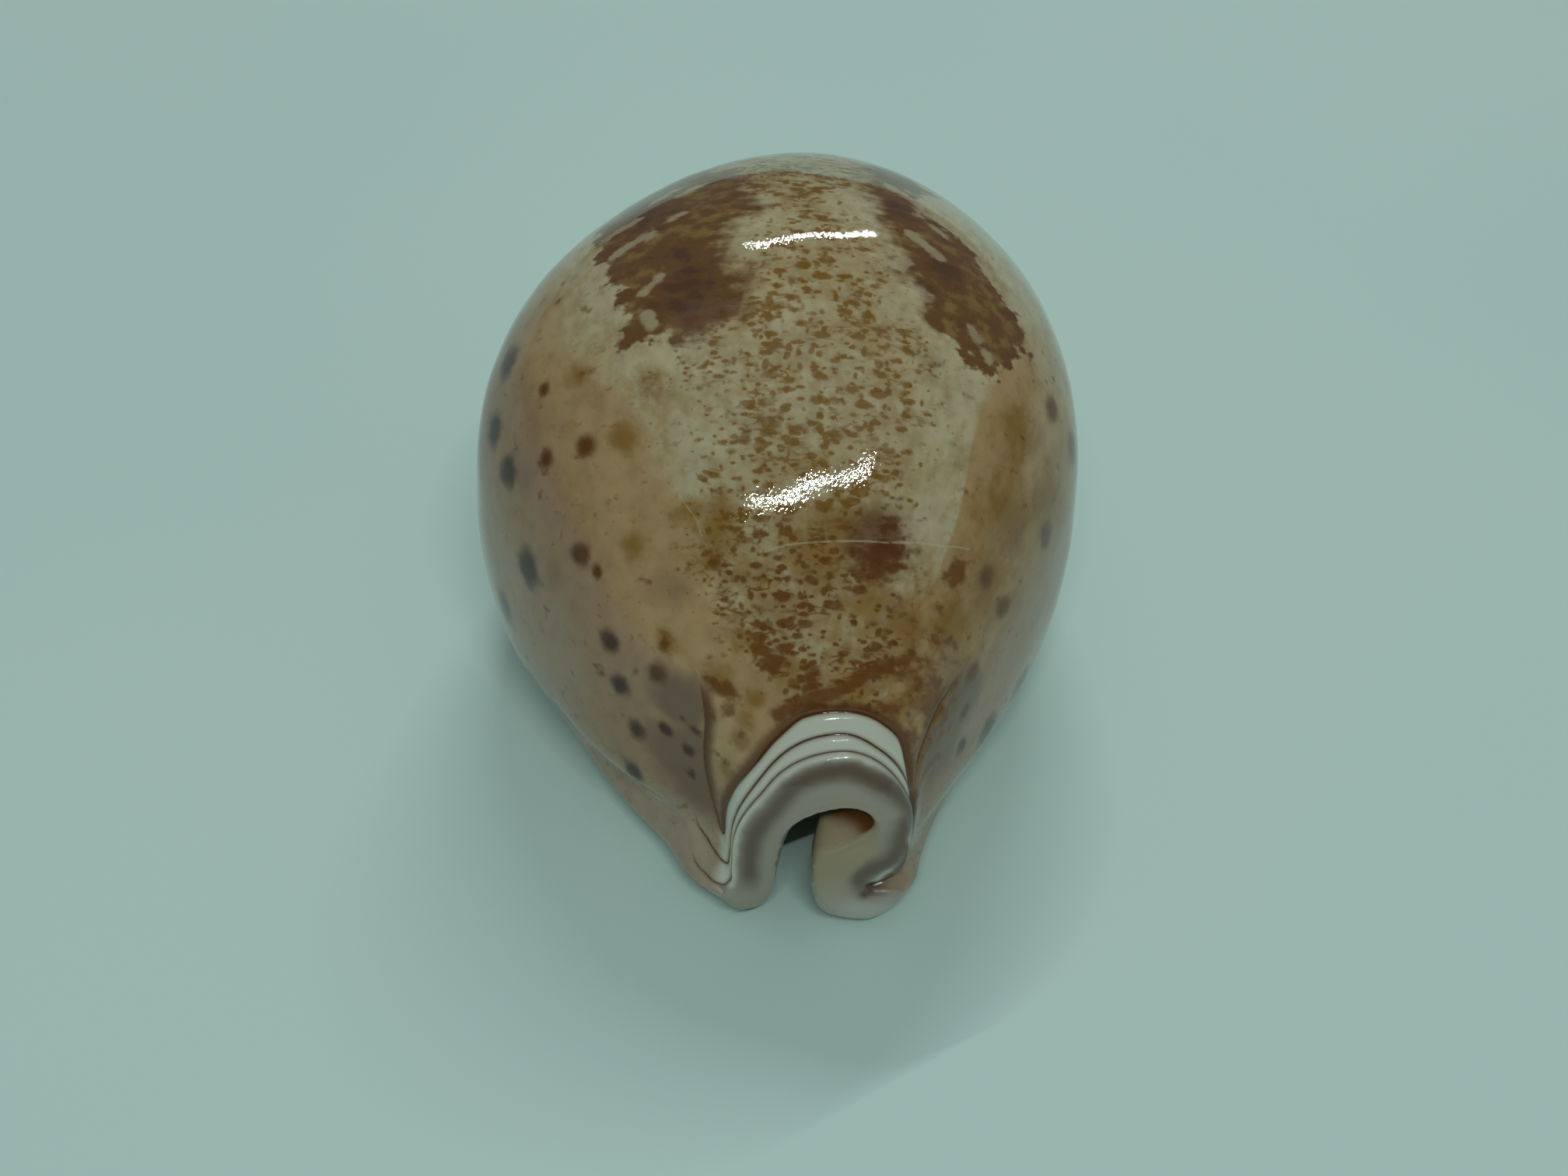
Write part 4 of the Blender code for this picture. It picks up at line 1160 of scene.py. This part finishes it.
def spot_colour(paint, colour):
    """Spots in the flanks, dark with a soft grey edge, and browner towards the crown."""
    spots = paint.shaken("spots", (paint.noise(1.9, shift=6.0), 0.8))
    low = paint.step(paint.field("low"), 0.35, 0.95)
    colour = paint.cover(colour, PLUM, spots, -0.2, 0.6, 0.55)
    return paint.cover(colour, paint.blend(low, FRONT_BROWN, SPOT_BROWN), spots, 0.08, 0.9, 0.97)


def scratch_colour(paint, colour):
    """Two hair-fine pale scratches."""
    broken = paint.step(paint.noise(1.2, shift=25.0), -0.22, 0.0)
    for name in ("long_scratch", "short_scratch"):
        across = paint.math("ABSOLUTE", paint.field(name))
        colour = paint.cover(colour, CREAM, across, 0.09, 0.03, broken, 0.5)
    return colour


def canal_colour(paint, colour):
    """White lamellae round the front canal."""
    return paint.cover(colour, WHITE, paint.field("back_line"), 0.05, -0.12, paint.field("lamella"))


def rim_colour(paint, colour):
    """The rim's grey front with its soft dark stripe, and the beige front of the pillar."""
    soft = paint.noise(1.8, shift=9.0, detail=3.0)
    place = paint.add("ShaderNodeSeparateXYZ")
    paint.feed(place.inputs[0], paint.object_place)
    x, z = place.outputs["X"], place.outputs["Z"]
    to_right = paint.step(x, 9.0 * MM, 12.5 * MM)
    rim = paint.shaken("rim", (soft, 0.5), (to_right, 0.4))
    colour = paint.cover(colour, RIM_GREY, rim, 0.35, 1.2)
    centre = paint.shaken(2.0, (paint.step(x, -0.5 * MM, 5.0 * MM), -0.3), (to_right, -0.35))
    off_centre = paint.math("ABSOLUTE", paint.math("SUBTRACT", rim, centre))
    colour = paint.cover(colour, RIM_STRIPE, off_centre, 1.6, 0.1, paint.step(rim, 0.2, 0.9),
                         paint.step(z, 4.0 * MM, 7.5 * MM), 0.9)
    pillar = paint.blend(paint.step(z, 3.0 * MM, 9.0 * MM), PILLAR_FOOT, PILLAR)
    colour = paint.cover(colour, pillar, rim, 2.2, 3.8, paint.field("pillar"))
    return paint.cover(colour, KNOB, z, 5.2 * MM, 3.2 * MM, paint.step(x, 6.0 * MM, 9.0 * MM),
                       paint.step(rim, 0.1, 0.6))


def under_colour(paint, colour):
    """Pale base with dim spots, brown between teeth, orange-brown hollow, painted shade in the hook's
    groove and pocket.
    """
    wide = paint.noise(4.0, shift=2.0, detail=3.0)
    base = paint.blend(paint.step(wide, -0.25, 0.35), BASE, BASE_SHADE)
    base = paint.cover(base, BASE_SPOT, paint.shaken("base_spots", (wide, 0.6)), 0.15, 0.95, 0.7)
    colour = paint.blend(paint.field("base"), colour, base)
    # Painted shade in the groove and notch under the rim's hook.
    colour = paint.blend(paint.product(paint.field("groove"), 0.9), colour, LINE_BROWN)
    colour = paint.blend(paint.product(paint.field("tooth_gap"), 0.8), colour, INSIDE)
    inner = paint.blend(paint.step(wide, -0.3, 0.4), INSIDE, INSIDE_DEEP)
    colour = paint.blend(paint.field("inside"), colour, inner)
    # Painted shade over the top of the pocket inside the rim's hook.
    return paint.cover(colour, POCKET_SHADE_BROWN, paint.shaken("pocket", (wide, 0.4)), 0.1, 0.75)


def line_colour(paint, colour):
    """The brown growth lines, the last with a soft brown edge behind it."""
    soft = paint.noise(0.7, shift=19.0)
    for name, (width, strength) in LINE_INK.items():
        ink = paint.field(name + "_ink")
        wide = paint.shaken(paint.math("ABSOLUTE", paint.field(name)), (soft, 0.05))
        colour = paint.cover(colour, DOT_BROWN, wide, width + 0.35, width - 0.05, ink,
                             0.5 * strength)
        colour = paint.cover(colour, LINE_BROWN, wide, width + 0.08, width - 0.08, ink, strength)
    behind = paint.shaken("back_line", (soft, 0.3))
    return paint.cover(colour, ARM_BROWN, behind, -0.15, 0.15, paint.step(behind, 1.4, 0.3),
                       paint.field("back_line_ink"), 0.9)


def shell_material():
    """Polished shell: all colours, a deep gloss and a very fine unevenness."""
    paint = Painter("polished_shell")
    colour = ground_colour(paint)
    for part in (dot_colour, blotch_colour, spot_colour, scratch_colour, canal_colour, rim_colour,
                 under_colour, line_colour):
        colour = part(paint, colour)
    shader = paint.shader
    paint.feed(shader.inputs["Base Color"], colour)
    haze = paint.noise(1.1, shift=12.0, detail=3.0)
    paint.feed(shader.inputs["Roughness"], paint.shaken(ROUGHNESS, (haze, HAZE)))
    shader.inputs["IOR"].default_value = 1.52
    shader.inputs["Subsurface Weight"].default_value = 0.06
    shader.inputs["Subsurface Radius"].default_value = (1.0, 0.6, 0.35)
    shader.inputs["Subsurface Scale"].default_value = 0.0006
    ripple = paint.noise(0.32, stretch=(0.8, 1.3, 1.0), shift=33.0, detail=1.0)
    swell = paint.noise(3.0, stretch=(1.6, 1.0, 1.0), shift=37.0)
    bump = paint.add("ShaderNodeBump")
    bump.inputs["Strength"].default_value = RIPPLE_STRENGTH
    bump.inputs["Distance"].default_value = RIPPLE_HEIGHT
    paint.feed(bump.inputs["Height"], paint.shaken(ripple, (swell, 0.7)))
    paint.feed(shader.inputs["Normal"], bump.outputs["Normal"])
    return paint.material


def make_shell():
    shell = bpy.data.objects.new("cowrie_surface", shell_mesh())
    bpy.context.scene.collection.objects.link(shell)
    shell.data.materials.append(shell_material())
    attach(shell, "root")
    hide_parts("cowrie_shell")
    print("triangles", sum(len(p.vertices) - 2 for p in shell.data.polygons))


def make_floor():
    """A plain pale floor."""
    mesh = bpy.data.meshes.new("floor")
    corners = [(x * FLOOR_HALF, y * FLOOR_HALF, 0) for x, y in ((-1, -1), (1, -1), (1, 1), (-1, 1))]
    mesh.from_pydata(corners, [], [(0, 1, 2, 3)])
    floor = bpy.data.objects.new("floor", mesh)
    bpy.context.scene.collection.objects.link(floor)
    paint = Painter("pale_floor")
    cloud = paint.noise(90.0, detail=1.0)
    colour = paint.blend(paint.step(cloud, -0.5, 0.5), FLOOR, FLOOR_SHADE)
    paint.feed(paint.shader.inputs["Base Color"], colour)
    paint.shader.inputs["Roughness"].default_value = 0.6
    floor.data.materials.append(paint.material)


def make_camera():
    """The camera that took the photograph, as worked out from the shell and its reflection."""
    forward = Vector((0, math.cos(PITCH), -math.sin(PITCH)))
    up = Vector((0, math.sin(PITCH), math.cos(PITCH)))
    right = Vector((1, 0, 0))
    camera_right = right * math.cos(ROLL) + up * math.sin(ROLL)
    camera_up = up * math.cos(ROLL) - right * math.sin(ROLL)
    turned = Matrix((camera_right, camera_up, -forward)).transposed().to_4x4()
    camera = bpy.data.objects.new("camera", bpy.data.cameras.new("camera"))
    camera.data.lens = LENS
    camera.data.sensor_width = SENSOR
    camera.data.clip_start = 0.01
    camera.matrix_world = Matrix.Translation(Vector(TARGET) - forward * DISTANCE) @ turned
    bpy.context.scene.collection.objects.link(camera)
    bpy.context.scene.camera = camera


def add_light(name, start, end, width, power):
    """A flat light between two places overhead, shining down."""
    start, end = Vector(start), Vector(end)
    data = bpy.data.lights.new(name, "AREA")
    data.shape = "RECTANGLE"
    data.size = (end - start).length
    data.size_y = width
    data.energy = power
    data.color = LIGHT_COLOUR
    lamp = bpy.data.objects.new(name, data)
    lamp.location = (start + end) / 2
    lamp.rotation_euler = (0, 0, math.atan2(end.y - start.y, end.x - start.x))
    bpy.context.scene.collection.objects.link(lamp)


def make_light():
    """The lights overhead and an even light from all round."""
    for name, settings in LIGHTS.items():
        add_light(name, *settings)
    world = bpy.data.worlds.new("room")
    world.use_nodes = True
    background = world.node_tree.nodes["Background"]
    background.inputs["Color"].default_value = LIGHT_COLOUR + (1.0,)
    background.inputs["Strength"].default_value = ROOM_LIGHT
    bpy.context.scene.world = world
    bpy.context.scene.view_settings.view_transform = "Standard"


make_shell()
make_floor()
make_camera()
make_light()
